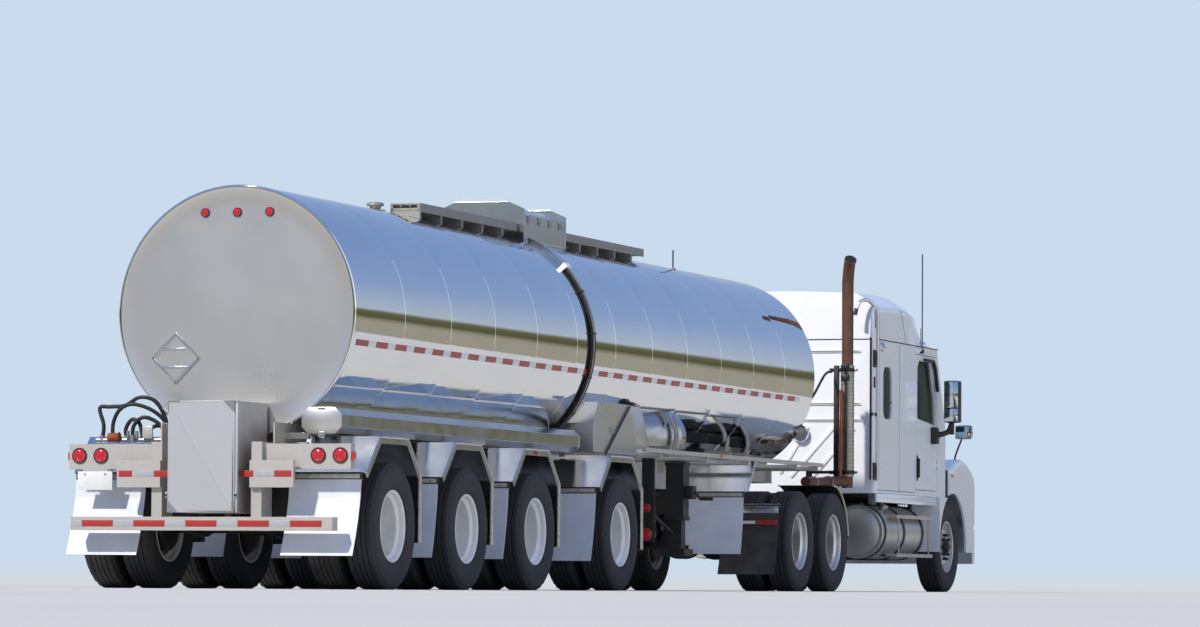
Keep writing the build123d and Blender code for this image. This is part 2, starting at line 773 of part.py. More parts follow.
def fifth_wheel():
    """The coupling plate with its tapered mouth to the rear, on two pedestals over the rails."""
    top = COUPLER_Z - COUPLING_GAP
    plate = Pos(KINGPIN_X, 0, top - FIFTH_WHEEL_T / 2) * Cylinder(FIFTH_WHEEL_R, FIFTH_WHEEL_T)
    mouth = [
        (KINGPIN_X, -30),
        (KINGPIN_X - 230, -45),
        (KINGPIN_X - 700, -230),
        (KINGPIN_X - 700, 230),
        (KINGPIN_X - 230, 45),
        (KINGPIN_X, 30),
    ]
    plate -= plan_plate(mouth, top - 100, top + 10)
    jaw = rod((KINGPIN_X, 0, top - FIFTH_WHEEL_T), (KINGPIN_X, 0, top), 75)
    plate = fuse(plate, jaw) - rod((KINGPIN_X, 0, top - 100), (KINGPIN_X, 0, top + 10), KINGPIN_R + RUN)
    legs = []
    for s in (-1, 1):
        a, b = sorted((s * 350, s * 420))
        outline = [
            (KINGPIN_X - 190, CHASSIS_TOP + SEAT),
            (KINGPIN_X + 190, CHASSIS_TOP + SEAT),
            (KINGPIN_X + 80, top - 20),
            (KINGPIN_X - 80, top - 20),
        ]
        legs.append(side_plate(outline, a, b))
    return fuse(plate, *legs)


def drive_housing(x):
    """A driven axle: its arms, its differential bowl and the pinion nose ahead of it."""
    beam = axle_with_arms(x, CHASSIS_Y, CHASSIS_BOTTOM, 75, DUAL_OUTER_Y - 115, DRIVE_ARM_HALF)
    bowl = rod((x - 150, 0, AXLE_Z), (x + 130, 0, AXLE_Z), 190)
    nose = rod((x + 120, 0, AXLE_Z + 30), (x + 330, 0, AXLE_Z + 50), 80)
    return fuse(beam, bowl, nose)


KINGPIN_Y = 875
STEER_PIN_R = 22


def tractor_axles():
    """The two driven axles, the dropped front beam with its leaf springs, and the drive shaft."""
    made = [drive_housing(x) for x in DRIVE_AXLES]
    x = STEER_AXLE
    eye = (490, 550)
    end = KINGPIN_Y - 45
    beam = cross_plate(
        [(-end, eye[0]), (-560, 400), (560, 400), (end, eye[0]), (end, eye[1]), (560, 500), (-560, 500), (-end, eye[1])],
        x - 50,
        x + 50,
    )
    springs = []
    for s in (-1, 1):
        a, b = sorted((s * (end - 5), s * KINGPIN_Y))
        springs.append(block(x - 35, x + 35, a, b, *eye))
        springs.append(rod((x, s * KINGPIN_Y, eye[0]), (x, s * KINGPIN_Y, eye[1]), 42))
    for s in (-1, 1):
        a, b = sorted((s * 345, s * 425))
        leaf = [(x - 850, 665), (x - 450, 575), (x - 60, 530), (x + 60, 530), (x + 450, 575), (x + 850, 665)]
        springs.append(side_plate(sheet(leaf, -55), a, b))
        springs.append(block(x - 70, x + 70, a, b, 480, 550))
        for dx in (-850, 850):
            springs.append(block(x + dx - 35, x + dx + 35, a, b, 665, CHASSIS_BOTTOM - SEAT))
    front = fuse(beam, *springs)
    hole = rod((x, -KINGPIN_Y, 300), (x, -KINGPIN_Y, 700), STEER_PIN_R + RUN)
    front = front - hole - flipped(hole)
    return group([*made, front])


def knuckle(side):
    """A steering knuckle: two ears on the kingpin, a flange and the spindle."""
    y = KINGPIN_Y
    x = STEER_AXLE
    ears = [
        block(x - 45, x + 45, y - 42, y + 62, 556, 610),
        block(x - 45, x + 45, y - 42, y + 62, 430, 484),
        block(x - 45, x + 45, y + 48, y + 70, 430, 610),
    ]
    pin = rod((x, y, 425), (x, y, 615), STEER_PIN_R)
    spindle = rod((x, y + 55, AXLE_Z), (x, STEER_Y + 105, AXLE_Z), SPINDLE_R)
    made = fuse(ears[0], *ears[1:], pin, spindle)
    return made if side > 0 else flipped(made)


ENGINE_HALF = 310
RADIATOR_HALF = CHASSIS_IN - 5
ENGINE_FEET = (17250, 19200)
FRONT_MEMBER_TOP = CHASSIS_BOTTOM + 120


def engine_block():
    """The engine and gearbox as one plain block between the rails, and the radiator behind the grille."""
    outline = [(16900, 620), (18100, 600), (19600, 640), (19600, 1380), (18850, 1420), (18850, 1040), (16900, 960)]
    feet = []
    for x in ENGINE_FEET:
        for s in (-1, 1):
            a, b = sorted((s * (ENGINE_HALF - 2), s * (CHASSIS_OUT - CHASSIS_WALL - SEAT)))
            z = CHASSIS_BOTTOM + CHASSIS_WALL + SEAT
            feet.append(block(x - 45, x + 45, a, b, z, z + 90))
    engine = fuse(side_plate(outline, -ENGINE_HALF, ENGINE_HALF), *feet)
    half, base = RADIATOR_HALF, FRONT_MEMBER_TOP + SEAT
    return group([engine, block(CHASSIS_FRONT - 60, CHASSIS_FRONT, -half, half, base, 1350)])


def cab_outline(inset):
    """The cab's side view as (x, z), drawn in by a wall."""
    return [
        (CAB_REAR + inset, CAB_BOTTOM + inset),
        (CAB_FRONT - inset, CAB_BOTTOM + inset),
        (CAB_FRONT - inset, 1880),
        (18350 - inset, CAB_TOP + (1 if inset else 0)),
        (CAB_REAR + inset, CAB_TOP + (1 if inset else 0)),
    ]


def upright_edges(solid, x):
    """The edges of a solid that stand upright at a station."""
    return [e for e in solid.edges().filter_by(Axis.Z) if abs(e.center().X - x) < 1]


def pillar_edges(solid):
    """The edges of the cab's front corners, upright below the windscreen and sloping beside it."""
    found = []
    for edge in solid.edges():
        at = edge.center()
        spread = edge.bounding_box().size
        if abs(abs(at.Y) - CAB_HALF) < 1 and spread.Y < 1 and spread.Z > 300 and at.X > DOOR_FRONT:
            found.append(edge)
    return found


def window_hole(x0, x1, z0, z1, radius, y0, y1):
    """A rounded hole through a side wall."""
    face = Pos((x0 + x1) / 2, y0, (z0 + z1) / 2) * Rot(90, 0, 0) * RectangleRounded(x1 - x0, z1 - z0, radius)
    return extrude(face, amount=y1 - y0, dir=(0, 1, 0))


SLEEPER_WINDOW = (15900, 16280, 1910, 2490)
SCREEN_HALF = 1020


def cab_shell():
    """The hollow cab and sleeper up to the roof seam, open at the doors, windscreen and side windows."""
    shell = side_plate(cab_outline(0), -CAB_HALF, CAB_HALF)
    shell = fillet(upright_edges(shell, CAB_REAR), CAB_CORNER)
    shell = fillet(pillar_edges(shell), PILLAR_ROUND).solid()
    shell -= side_plate(cab_outline(CAB_WALL), -CAB_HALF + CAB_WALL, CAB_HALF - CAB_WALL)
    for s in (-1, 1):
        y0, y1 = sorted((s * (CAB_HALF - CAB_WALL - 5), s * (CAB_HALF + 5)))
        shell -= block(DOOR_REAR, DOOR_FRONT, y0, y1, DOOR_BOTTOM, DOOR_TOP)
        shell -= window_hole(*SLEEPER_WINDOW, 110, y0, y1)
    shell -= screen_plate(0, 400, 0, 40)
    hinges = []
    for z in DOOR_HINGES:
        x, y = DOOR_FRONT, CAB_HALF + DOOR_HINGE_OUT
        hinges.append(rod((x, y, z - 45), (x, y, z + 45), DOOR_PIN_R))
        for low in (z - 45, z + 25):
            hinges.append(rod((x, y, low), (x, y, low + 20), DOOR_KNUCKLE_R))
            hinges.append(block(x, x + 50, y - 6, y + 6, low, low + 20))
            hinges.append(block(x + 14, x + 50, CAB_HALF - 1, y, low, low + 20))
    mounts = []
    for x in CAB_MOUNTS:
        mounts.append(block(x - 60, x + 60, 350, 420, CHASSIS_TOP + SEAT, CAB_BOTTOM + 1))
    shell = fuse(shell, *both(*hinges, *mounts))
    whip = fuse(
        block(17470, 17530, -CAB_HALF - 45, -CAB_HALF + 1, 2700, 2750),
        rod((ANTENNA_X, -CAB_HALF - 30, 2740), (ANTENNA_X, -CAB_HALF - 30, ANTENNA_TOP), 7),
    )
    shell = fuse(shell, whip)
    return group([shell, *side_extenders(), *both(arch_panel())])


CAB_MOUNTS = (15800, 18500)
ANTENNA_X = 17500
ANTENNA_TOP = 3830


def arch_panel():
    """The fixed rear half of a front wheel's arch, under the cab's front corner."""
    w = HOOD_WALL
    outer = side_plate([(FENDER_REAR, 460), (HOOD_REAR - 30, 460), (HOOD_REAR - 30, CAB_BOTTOM - SEAT),
                        (FENDER_REAR, CAB_BOTTOM - SEAT)], 900, WING_HALF)
    inner = block(FENDER_REAR + w, HOOD_REAR, 890, WING_HALF - w, 400, CAB_BOTTOM - w)
    arch = rod((STEER_AXLE, 0, AXLE_Z), (STEER_AXLE, 1400, AXLE_Z), ARCH_R)
    low = block(STEER_AXLE - ARCH_R, STEER_AXLE + ARCH_R, 0, 1400, 0, AXLE_Z)
    return outer - inner - arch - low


def screen_plate(inset, depth, lift, margin=40):
    """A slab in the windscreen's slope, from its outer face inwards."""
    x0, z0, x1, z1 = CAB_FRONT, 1880, 18350, CAB_TOP
    run = math.hypot(x1 - x0, z1 - z0)
    ux, uz = (x1 - x0) / run, (z1 - z0) / run
    nx, nz = -uz, ux
    a, b = margin + inset, run - margin - inset
    out = 30 if depth > 100 else -lift
    pts = []
    for along, off in ((a, -out), (b, -out), (b, depth), (a, depth)):
        pts.append((x0 + ux * along + nx * off, z0 + uz * along + nz * off))
    return side_plate(pts, -SCREEN_HALF + inset, SCREEN_HALF - inset)


ROOF_SECTIONS = (
    # x of a cross section of the roof, its height in the middle, and its half width at the eaves and at the seam
    (CAB_REAR, 3320, 1200, 1200),
    (16400, 3345, 1200, 1200),
    (17000, 3335, 1190, 1200),
    (17400, 3290, 1160, 1200),
    (17700, 3225, 1080, 1200),
    (18000, 3140, 970, 1200),
    (18300, 3035, 820, 1190),
    (18520, 2930, 650, 1060),
)
ROOF_SHOULDER = (230, 35)
ROOF_EAVE_DROP = 190
ROOF_EAVE_SHARE = 0.6
ROOF_ROUND = 140
BROW = (18350, 2870)


def roof_section(x, crest, eave_half, seam_half, inset):
    """The roof's cross section at a station: nearly upright sides, rounded shoulders and a crowned top."""
    half = seam_half - inset
    floor = CAB_TOP + (SEAT if not inset else -1)
    y, drop = ROOF_SHOULDER
    shoulder, top = (eave_half - y - inset / 2, crest - drop - inset), crest - inset
    eave_drop = min(ROOF_EAVE_DROP, (crest - CAB_TOP) * ROOF_EAVE_SHARE)
    eave = (eave_half - inset, crest - eave_drop - inset)
    with BuildSketch(Plane(origin=(x, 0, 0), x_dir=(0, 1, 0), z_dir=(1, 0, 0))) as made:
        with BuildLine():
            Polyline((-half, floor), (-eave[0], eave[1]), (-shoulder[0], shoulder[1]))
            ThreePointArc((-shoulder[0], shoulder[1]), (0, top), shoulder)
            Polyline(shoulder, eave, (half, floor), (-half, floor))
        make_face()
        upper = [v for v in made.vertices() if v.Y > floor + 1]
        fillet(upper, min(ROOF_ROUND, 0.45 * eave_drop) - inset)
    return made.sketch.faces()[0]


def cab_roof():
    """The raised roof cap over cab and sleeper, hollow, with its brow over the windscreen."""

    def cap(inset):
        stations = list(ROOF_SECTIONS)
        first, last = stations[0], stations[-1]
        stations[0] = (first[0] + inset, *first[1:])
        stations[-1] = (last[0] - inset, *last[1:])
        body = loft([roof_section(*station, inset) for station in stations], ruled=True)
        x, z = BROW
        tip = last[0]
        brow = [(x - 2 * inset, CAB_TOP - 5), (tip + 60, CAB_TOP - 5), (tip + 60, z - inset), (tip - inset, z - inset)]
        return body - side_plate(brow, -CAB_HALF - 10, CAB_HALF + 10)

    return cap(0) - cap(ROOF_WALL)


def cab_glass():
    """The windscreen and the sleeper's two side windows."""
    made = [screen_plate(SEAT, 6 + GLASS, -6)]
    x0, x1, z0, z1 = SLEEPER_WINDOW
    for s in (-1, 1):
        y0, y1 = sorted((s * (CAB_HALF - 20), s * (CAB_HALF - 20 - GLASS)))
        made.append(window_hole(x0 + SEAT, x1 - SEAT, z0 + SEAT, z1 - SEAT, 110 - SEAT, y0, y1))
    return group(made)


def door_window(inset):
    """The door window's outline as (x, z), drawn in all round."""
    points = [(17400, 1960), (18210, 1905), (18180, 2200), (18010, 2620), (17480, 2620), (17400, 2540)]
    cx = sum(x for x, _ in points) / len(points)
    cz = sum(z for _, z in points) / len(points)
    return [(x - math.copysign(2 * inset, x - cx), z - math.copysign(2 * inset, z - cz)) for x, z in points]


def door(side):
    """A cab door with its window cut out, its glass and its mirror arm and head."""
    x0, x1 = DOOR_REAR + GAP, DOOR_FRONT - GAP
    z0, z1 = DOOR_BOTTOM + GAP, DOOR_TOP - GAP
    y0, y1 = CAB_HALF - CAB_WALL, CAB_HALF
    panel = block(x0, x1, y0, y1, z0, z1)
    panel -= side_plate(door_window(0), y0 - 5, y1 + 5)
    pane = side_plate(door_window(SEAT), y1 - 26, y1 - 20)
    for z in DOOR_HINGES:
        y = CAB_HALF + DOOR_HINGE_OUT
        barrel = rod((DOOR_FRONT, y, z - 20), (DOOR_FRONT, y, z + 20), DOOR_KNUCKLE_R)
        arm = block(x1 - 50, DOOR_FRONT, y - 6, y + 6, z - 20, z + 20)
        foot = block(x1 - 50, x1 - 10, y1 - 1, y, z - 20, z + 20)
        panel = fuse(panel, barrel, arm, foot)
        panel -= rod((DOOR_FRONT, y, z - 30), (DOOR_FRONT, y, z + 30), DOOR_PIN_R + RUN)
    arm = fuse(
        panel,
        block(18020, 18120, y1 - 5, y1 + 60, 1700, 1860),
        rod((18080, y1 + 40, 1800), (18150, y1 + 230, 1830), 24),
        rod((18150, y1 + 220, 1800), (18150, y1 + 220, 2000), 24),
        block(18080, 18220, y1 + 140, y1 + 310, 1940, 2410),
    )
    made = group([arm, pane])
    return made if side > 0 else flipped(made)


FENDER_REAR = 18330
WING_HALF = 1230
HOOD_PIN_R = 8
HOOD_LUG_Y = 365


HOOD_TOP = ((HOOD_REAR, 1850), (19300, 1790), (19800, 1650), (20030, 1440), (20100, 1180))
WING_TOP = ((HOOD_REAR, 1430), (19300, 1540), (19670, 1500), (19930, 1390), (20040, 1180))
HOOD_ROUND = 90
WING_ROUND = 60


def under_curve(line, lowest, y0, y1):
    """A slab under a smooth curve of (x, z) points that ends upright, down to the last outline points."""
    points = [(x, y0, z) for x, z in line]
    low = [(x, y0, z) for x, z in lowest]
    top = Spline(*points, tangents=[Vector(1, 0, 0.02), Vector(0, 0, -1)])
    rest = Polyline(points[-1], *low, points[0])
    return Solid.extrude(Face(Wire([*top.edges(), *rest.edges()])), Vector(0, y1 - y0, 0))


def lowered(line, wall):
    """A curve's points moved down and back by a wall."""
    moved = [(x, z - wall) for x, z in line[:-2]]
    moved.append((line[-2][0] - wall * 0.7, line[-2][1] - wall * 0.7))
    moved.append((line[-1][0] - wall, line[-1][1]))
    return moved


def rounded_shoulder(solid, y, radius):
    """The solid with the curved edge at a side rounded off."""
    edges = [e for e in solid.edges() if e.geom_type == GeomType.BSPLINE and abs(abs(e.center().Y) - y) < 1]
    return fillet(edges, radius).solid()


def hood():
    """The tilting hood: the raised middle and the two fenders round the steered wheels, hollow inside."""
    w = HOOD_WALL
    front, low = HOOD_TOP[-1][0], HOOD_HINGE_Z
    middle = under_curve(HOOD_TOP, [(front, low), (HOOD_REAR, low)], -HOOD_HALF, HOOD_HALF)
    middle = rounded_shoulder(middle, HOOD_HALF, HOOD_ROUND)
    inside = under_curve(
        lowered(HOOD_TOP, w), [(front - w, low - 5), (HOOD_REAR, low - 5)], -HOOD_HALF + w, HOOD_HALF - w
    )
    inside = rounded_shoulder(inside, HOOD_HALF - w, HOOD_ROUND - w)
    middle -= inside
    middle -= block(HOOD_REAR - 5, HOOD_REAR + 5, -HOOD_HALF + w, HOOD_HALF - w, low - 5, 1700)
    middle -= block(HOOD_REAR - 5, 20000, -HOOD_HALF - 5, HOOD_HALF + 5, low - 5, 1080)
    middle -= block(20000, 20200, -GRILLE_HALF, GRILLE_HALF, *GRILLE_Z)
    nose, cheek = WING_TOP[-1][0], 19940
    skirt = [(nose, 860), (cheek, 760), (cheek, 460), (HOOD_REAR, 460)]
    wing = under_curve(WING_TOP, skirt, HOOD_HALF - w, WING_HALF)
    edges = [
        e for e in wing.edges() if e.geom_type == GeomType.BSPLINE and abs(e.center().Y - WING_HALF) < 1
    ]
    wing = fillet(edges, WING_ROUND).solid()
    hollow = [(nose - w, 865), (cheek - w, 765), (cheek - w, 455), (HOOD_REAR, 455)]
    wing -= under_curve(lowered(WING_TOP, w), hollow, HOOD_HALF - w - 5, WING_HALF - w)
    wing -= block(HOOD_REAR - 5, HOOD_REAR + 5, HOOD_HALF - w - 5, WING_HALF - w, 455, 1430 - w)
    arch = rod((STEER_AXLE, 0, AXLE_Z), (STEER_AXLE, 1400, AXLE_Z), ARCH_R)
    wing -= block(STEER_AXLE - ARCH_R, STEER_AXLE + ARCH_R, 0, 1400, 0, AXLE_Z)
    wing -= arch
    lug = fuse(
        rod((HOOD_HINGE_X, HOOD_LUG_Y - 20, HOOD_HINGE_Z), (HOOD_HINGE_X, HOOD_LUG_Y + 20, HOOD_HINGE_Z), 16),
        block(20080, HOOD_HINGE_X, HOOD_LUG_Y - 20, HOOD_LUG_Y + 20, HOOD_HINGE_Z, HOOD_HINGE_Z + 15),
    )
    pieces = both(wing, lug)
    made = fuse(middle, *pieces)
    return made - rod((HOOD_HINGE_X, -500, HOOD_HINGE_Z), (HOOD_HINGE_X, 500, HOOD_HINGE_Z), HOOD_PIN_R + RUN)


def grille():
    """The grille's frame and bars in the nose, with a head lamp at each side of it."""
    x0, x1 = 20078, 20096
    half, z0, z1 = GRILLE_HALF - SEAT, GRILLE_Z[0] + SEAT, GRILLE_Z[1] - SEAT
    frame = block(x0, x1, -half, half, z0, z1) - block(x0 - 5, x1 + 5, -half + 35, half - 35, z0 + 35, z1 - 35)
    bars = [block(x0 + 2, x1 - 2, -400, 400, z, z + 22) for z in range(930, 1290, 50)]
    posts = [block(x0, x1 - 2, y - 12, y + 12, 880, 1310) for y in (-200, 0, 200)]
    made = [fuse(frame, *bars, *posts)]
    for s in (-1, 1):
        a, b = sorted((s * 680, s * 1080))
        made.append(block(20040 + SEAT, 20075, a, b, 900, 1150))
    return group(made)


def front_bumper():
    """The three-piece bumper under the nose, carried on the frame horns."""
    z0, z1 = BUMPER_Z
    outline = [(20120, -1180), (20280, -760), (20300, -700), (20300, 700), (20280, 760), (20120, 1180),
               (19990, 1230), (19970, 1205), (20090, 1150), (20250, 730), (20270, 690), (20270, -690),
               (20250, -730), (20090, -1150), (19970, -1205), (19990, -1230)]
    face = plan_plate(outline, z0, z1)
    horns = []
    x, y, z = HOOD_HINGE_X, HOOD_LUG_Y, HOOD_HINGE_Z
    for s in (-1, 1):
        a, b = sorted((s * (y - 42), s * (y + 42)))
        start = CHASSIS_FRONT + SEAT
        arm = [(start, CHASSIS_BOTTOM + 5), (start, CHASSIS_BOTTOM + 110), (19950, 770), (20100, HORN_TOP),
               (20275, HORN_TOP), (20275, 560), (20060, 560)]
        horns.append(side_plate(arm, a, b))
        horns.append(rod((x, a, z), (x, b, z), HOOD_PIN_R))
        for inner in (y - 42, y + 26):
            a, b = sorted((s * inner, s * (inner + 16)))
            horns.append(block(x - 17, x + 17, a, b, HORN_TOP - 10, z + 17))
    return fuse(face, *horns)


FUEL_TANK_R = 295
FUEL_TANK = {"x": (15900, 17800), "y": 900, "z": 660}


def fuel_tanks():
    """A round fuel tank on each side with straps and brackets, and the two steps over it."""
    x0, x1 = FUEL_TANK["x"]
    y, z, r = FUEL_TANK["y"], FUEL_TANK["z"], FUEL_TANK_R
    half = [rod((x0, y, z), (x1, y, z), r)]
    for x in (x0 + 130, (x0 + x1) / 2, x1 - 130):
        half.append(rod((x - 30, y, z), (x + 30, y, z), r + 6))
        half.append(block(x - 30, x + 30, CHASSIS_OUT + SEAT, y - 200, z + 90, z + 290))
        half.append(block(x - 30, x + 30, CHASSIS_OUT + SEAT, y, z - 305, z - 240))
        half.append(block(x - 30, x + 30, CHASSIS_OUT + SEAT, CHASSIS_OUT + 40, z - 305, z + 290))
    for height in (850, 420):
        half.append(block(16300, 17900, 1130, 1250, height - 25, height))
        for x in (16400, 17700):
            half.append(block(x - 20, x + 20, 900, 1140, height - 25, height - 5))
    left = fuse(half[0], *half[1:])
    return group(both(left))


STACK = {"x": 15130, "y": -1000, "r": 63}


def exhaust_stack():
    """The upright pipe with its curved tip, its heat shield, its brackets and the elbow along the frame."""
    x, y, r = STACK["x"], STACK["y"], STACK["r"]
    route = [(x - 1150, y + 120, 1190), (x - 450, y + 120, 1190), (x, y, 1190), (x, y, 3400), (x - 110, y - 60, 3630)]
    stack = pipe([route[2], route[3], route[4]], 150, r, 4)
    shield = rod((x, y, 1250), (x, y, 2470), 76) - rod((x, y, 1200), (x, y, 2500), r - 2)
    elbow = rod((x, y, 1130), (x, y, 1192), r + 12)
    low = rod((x - 1100, y + 150, 1165), (x, y, 1165), 48)
    stays = []
    for z in STACK_STAYS:
        stays.append(block(x - STAY_HALF, x + STAY_HALF, y + r - 5, -600, z - 20, z + 20))
    tower = block(x - 60, x + 60, -640, -580, CHASSIS_TOP + 30 + SEAT, 2450)
    return fuse(stack, shield, elbow, low, *stays, tower)


def side_extenders():
    """The panels that close the gap behind the cab on each side."""
    outline = [(15430, 1220), (CAB_REAR - SEAT, 1220), (CAB_REAR - SEAT, 2900), (15500, 2900), (15430, 2800)]
    return both(side_plate(outline, CAB_HALF - 30, CAB_HALF))


def drive_fenders():
    """Quarter fenders ahead of the second driven axle and flaps behind the first."""
    x, z = DRIVE_AXLES[1], AXLE_Z
    inner, outer = 600, 608
    ring = rod((x, 650, z), (x, 1270, z), outer) - rod((x, 640, z), (x, 1280, z), inner)
    corner = [(x, z + 60), (x + 900, z + 60), (x + 900, z + 900), (x, z + 900)]
    quarter = ring & side_plate(corner, 600, 1300)
    stay_r, stay_at = 18, math.radians(50)
    reach = inner - stay_r + 3
    stay_x, stay_z = x + reach * math.cos(stay_at), z + reach * math.sin(stay_at)
    quarter = fuse(quarter, rod((stay_x, CHASSIS_OUT + SEAT, stay_z), (stay_x, 1200, stay_z), stay_r))
    hung = flap(FLAP_BAR_X + 30, 845, 170, FLAP_Y[0] + 20, FLAP_Y[1], 180)
    hung = hung - rod((FLAP_BAR_X, 0, FLAP_BAR_Z), (FLAP_BAR_X, 2000, FLAP_BAR_Z), FLAP_BAR_R + SEAT)
    return group(both(quarter, hung))


def cab_interior():
    """Two seats, the dashboard with the steering wheel and the bunk behind."""
    floor = CAB_BOTTOM + CAB_WALL + SEAT
    made = []
    for y in (-560, 560):
        pan = block(17250, 17750, y - 240, y + 240, floor, 1560)
        back = side_plate([(17130, 1500), (17270, 1500), (17170, 2320), (17040, 2320)], y - 230, y + 230)
        made.append(fuse(pan, back))
    made.append(
        side_plate([(18250, 1400), (CAB_FRONT - CAB_WALL - SEAT, 1400), (CAB_FRONT - CAB_WALL - SEAT, 1860),
                    (18330, 1820), (18230, 1700)], -CAB_HALF + CAB_WALL + 10, CAB_HALF - CAB_WALL - 10)
    )
    made.append(block(CAB_REAR + CAB_WALL + SEAT, 16500, -1100, 1100, floor, 1600))
    return group(made)


STACK_STAYS = (1300, 2400)
STAY_HALF = 20
AIR_LINE_R = 14
AIR_LINE_ROUTE = (
    (STACK["x"] - STAY_HALF, -820, STACK_STAYS[1]),
    (14930, -820, STACK_STAYS[1]),
    (14760, -800, 2280),
    (14620, -740, 2090),
    (14450, -650, 1920),
    (14250, -540, 1780),
    (14050, -400, TANK_Z - 480),
    (13880, -400, TANK_Z - 480),
)


def bend_radii(route):
    """An arc for each corner of a route, as large as its two runs allow."""
    radii = []
    for before, at, after in zip(route, route[1:], route[2:]):
        into, out = Vector(*at) - Vector(*before), Vector(*after) - Vector(*at)
        half_turn = math.radians(into.get_angle(out)) / 2
        radii.append(0.45 * min(into.length, out.length) / math.tan(half_turn))
    return radii


def air_lines():
    """The air line that hangs from the stack's bracket to the trailer's nose."""
    radii = bend_radii(AIR_LINE_ROUTE)
    print("air line radii", [round(r) for r in radii])
    return pipe(list(AIR_LINE_ROUTE), radii, AIR_LINE_R)


def write(name, shape):
    """Moves a piece to the truck's own frame and writes it."""
    placed = Pos(-CENTRE_X, 0, 0) * shape
    if isinstance(placed, Compound) or len(placed.solids()) != 1:
        placed = Compound(children=list(placed.solids()))
    else:
        placed = placed.solids()[0]
    placed.label = name
    export_step(placed, f"parts/{name}.step")


NODES = {
    "tank": tank,
    "top_deck": top_deck,
    "trailer_frame": trailer_frame,
    "trailer_axles": trailer_axles,
    "trailer_fenders": trailer_fenders,
    "trailer_flaps": trailer_flaps,
    "rear_bumper": rear_bumper,
    "trailer_lamps": trailer_lamps,
    "rear_cabinet": rear_cabinet,
    "cabinet_door": cabinet_door,
    "landing_gear": landing_gear,
    "side_boxes": side_boxes,
    "trailer_pipes": trailer_pipes,
    "tractor_frame": tractor_frame,
    "fifth_wheel": fifth_wheel,
    "tractor_axles": tractor_axles,
    "engine_block": engine_block,
    "cab_shell": cab_shell,
    "cab_roof": cab_roof,
    "cab_glass": cab_glass,
    "cab_interior": cab_interior,
    "exhaust_stack": exhaust_stack,
    "fuel_tanks": fuel_tanks,
    "drive_fenders": drive_fenders,
    "front_bumper": front_bumper,
    "hood": hood,
    "grille": grille,
    "air_lines": air_lines,
}


def main():
    """Builds every piece and writes its STEP file."""
    os.makedirs("parts", exist_ok=True)
    for name, make in NODES.items():
        write(name, make())
    sides = (("left", 1), ("right", -1))
    for word, side in sides:
        for number, x in enumerate(TRAILER_AXLES, start=1):
            write(f"trailer_tyres_{number}_{word}", dual_tyres(side, x))
            write(f"trailer_rims_{number}_{word}", dual_rims(side, x))
        for number, x in enumerate(DRIVE_AXLES, start=1):
            write(f"drive_tyres_{number}_{word}", dual_tyres(side, x))
            write(f"drive_rims_{number}_{word}", dual_rims(side, x))
        write(f"steer_tyre_{word}", steer_tyre(side))
        write(f"steer_rim_{word}", steer_rim(side))
        write(f"knuckle_{word}", knuckle(side))
        write(f"door_{word}", door(side))


if __name__ == "__main__":
    main()
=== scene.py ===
"""Dresses the tanker truck: a white sleeper tractor coupled to a polished round tank semi-trailer.

Everything is in metres in the truck's own frame: +X forward, +Y to the truck's left, +Z up, with the
origin on the floor under the middle of its length. A station is a distance ahead of the trailer's
rearmost axle, as a workshop would measure it.
"""

from __future__ import annotations

import json
import logging
import math
from dataclasses import dataclass, field
from enum import Enum
from typing import Callable, Iterable, Sequence

import bmesh
import bpy
from mathutils import Matrix, Vector

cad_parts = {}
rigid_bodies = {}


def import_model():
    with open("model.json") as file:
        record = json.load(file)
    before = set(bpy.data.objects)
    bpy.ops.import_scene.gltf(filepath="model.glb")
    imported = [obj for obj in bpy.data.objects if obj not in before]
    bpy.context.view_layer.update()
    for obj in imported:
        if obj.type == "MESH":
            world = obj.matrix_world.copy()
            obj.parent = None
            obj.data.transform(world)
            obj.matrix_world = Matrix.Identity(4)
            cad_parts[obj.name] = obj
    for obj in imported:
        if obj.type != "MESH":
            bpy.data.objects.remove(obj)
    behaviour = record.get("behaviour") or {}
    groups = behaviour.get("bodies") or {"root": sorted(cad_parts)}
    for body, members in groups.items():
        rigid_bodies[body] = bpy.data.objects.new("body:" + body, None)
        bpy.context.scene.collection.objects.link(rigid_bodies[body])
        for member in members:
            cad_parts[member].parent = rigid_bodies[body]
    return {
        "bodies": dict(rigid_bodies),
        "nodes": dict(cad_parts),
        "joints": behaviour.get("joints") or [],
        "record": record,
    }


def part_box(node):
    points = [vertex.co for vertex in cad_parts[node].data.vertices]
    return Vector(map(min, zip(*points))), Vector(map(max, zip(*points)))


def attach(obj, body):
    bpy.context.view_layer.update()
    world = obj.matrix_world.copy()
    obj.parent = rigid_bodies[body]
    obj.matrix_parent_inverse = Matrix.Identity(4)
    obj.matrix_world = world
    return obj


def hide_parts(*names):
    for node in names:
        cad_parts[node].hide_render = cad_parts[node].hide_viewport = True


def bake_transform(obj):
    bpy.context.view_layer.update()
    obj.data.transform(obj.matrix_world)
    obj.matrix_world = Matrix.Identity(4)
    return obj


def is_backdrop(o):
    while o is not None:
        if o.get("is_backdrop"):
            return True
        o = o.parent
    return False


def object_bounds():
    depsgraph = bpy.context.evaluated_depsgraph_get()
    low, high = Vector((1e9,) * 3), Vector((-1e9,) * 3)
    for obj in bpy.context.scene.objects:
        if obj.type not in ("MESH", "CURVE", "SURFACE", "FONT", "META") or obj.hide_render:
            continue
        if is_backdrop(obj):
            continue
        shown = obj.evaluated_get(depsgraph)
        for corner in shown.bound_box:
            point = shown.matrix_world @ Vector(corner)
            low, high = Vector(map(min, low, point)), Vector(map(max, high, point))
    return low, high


LOG = logging.getLogger("tanker_truck")
Point = Sequence[float]
MM = 0.001
ORIGIN = (0, 0, 0)
ACROSS = (0, 1, 0)
ALONG = (1, 0, 0)
BACK = (-1, 0, 0)
UP = (0, 0, 1)
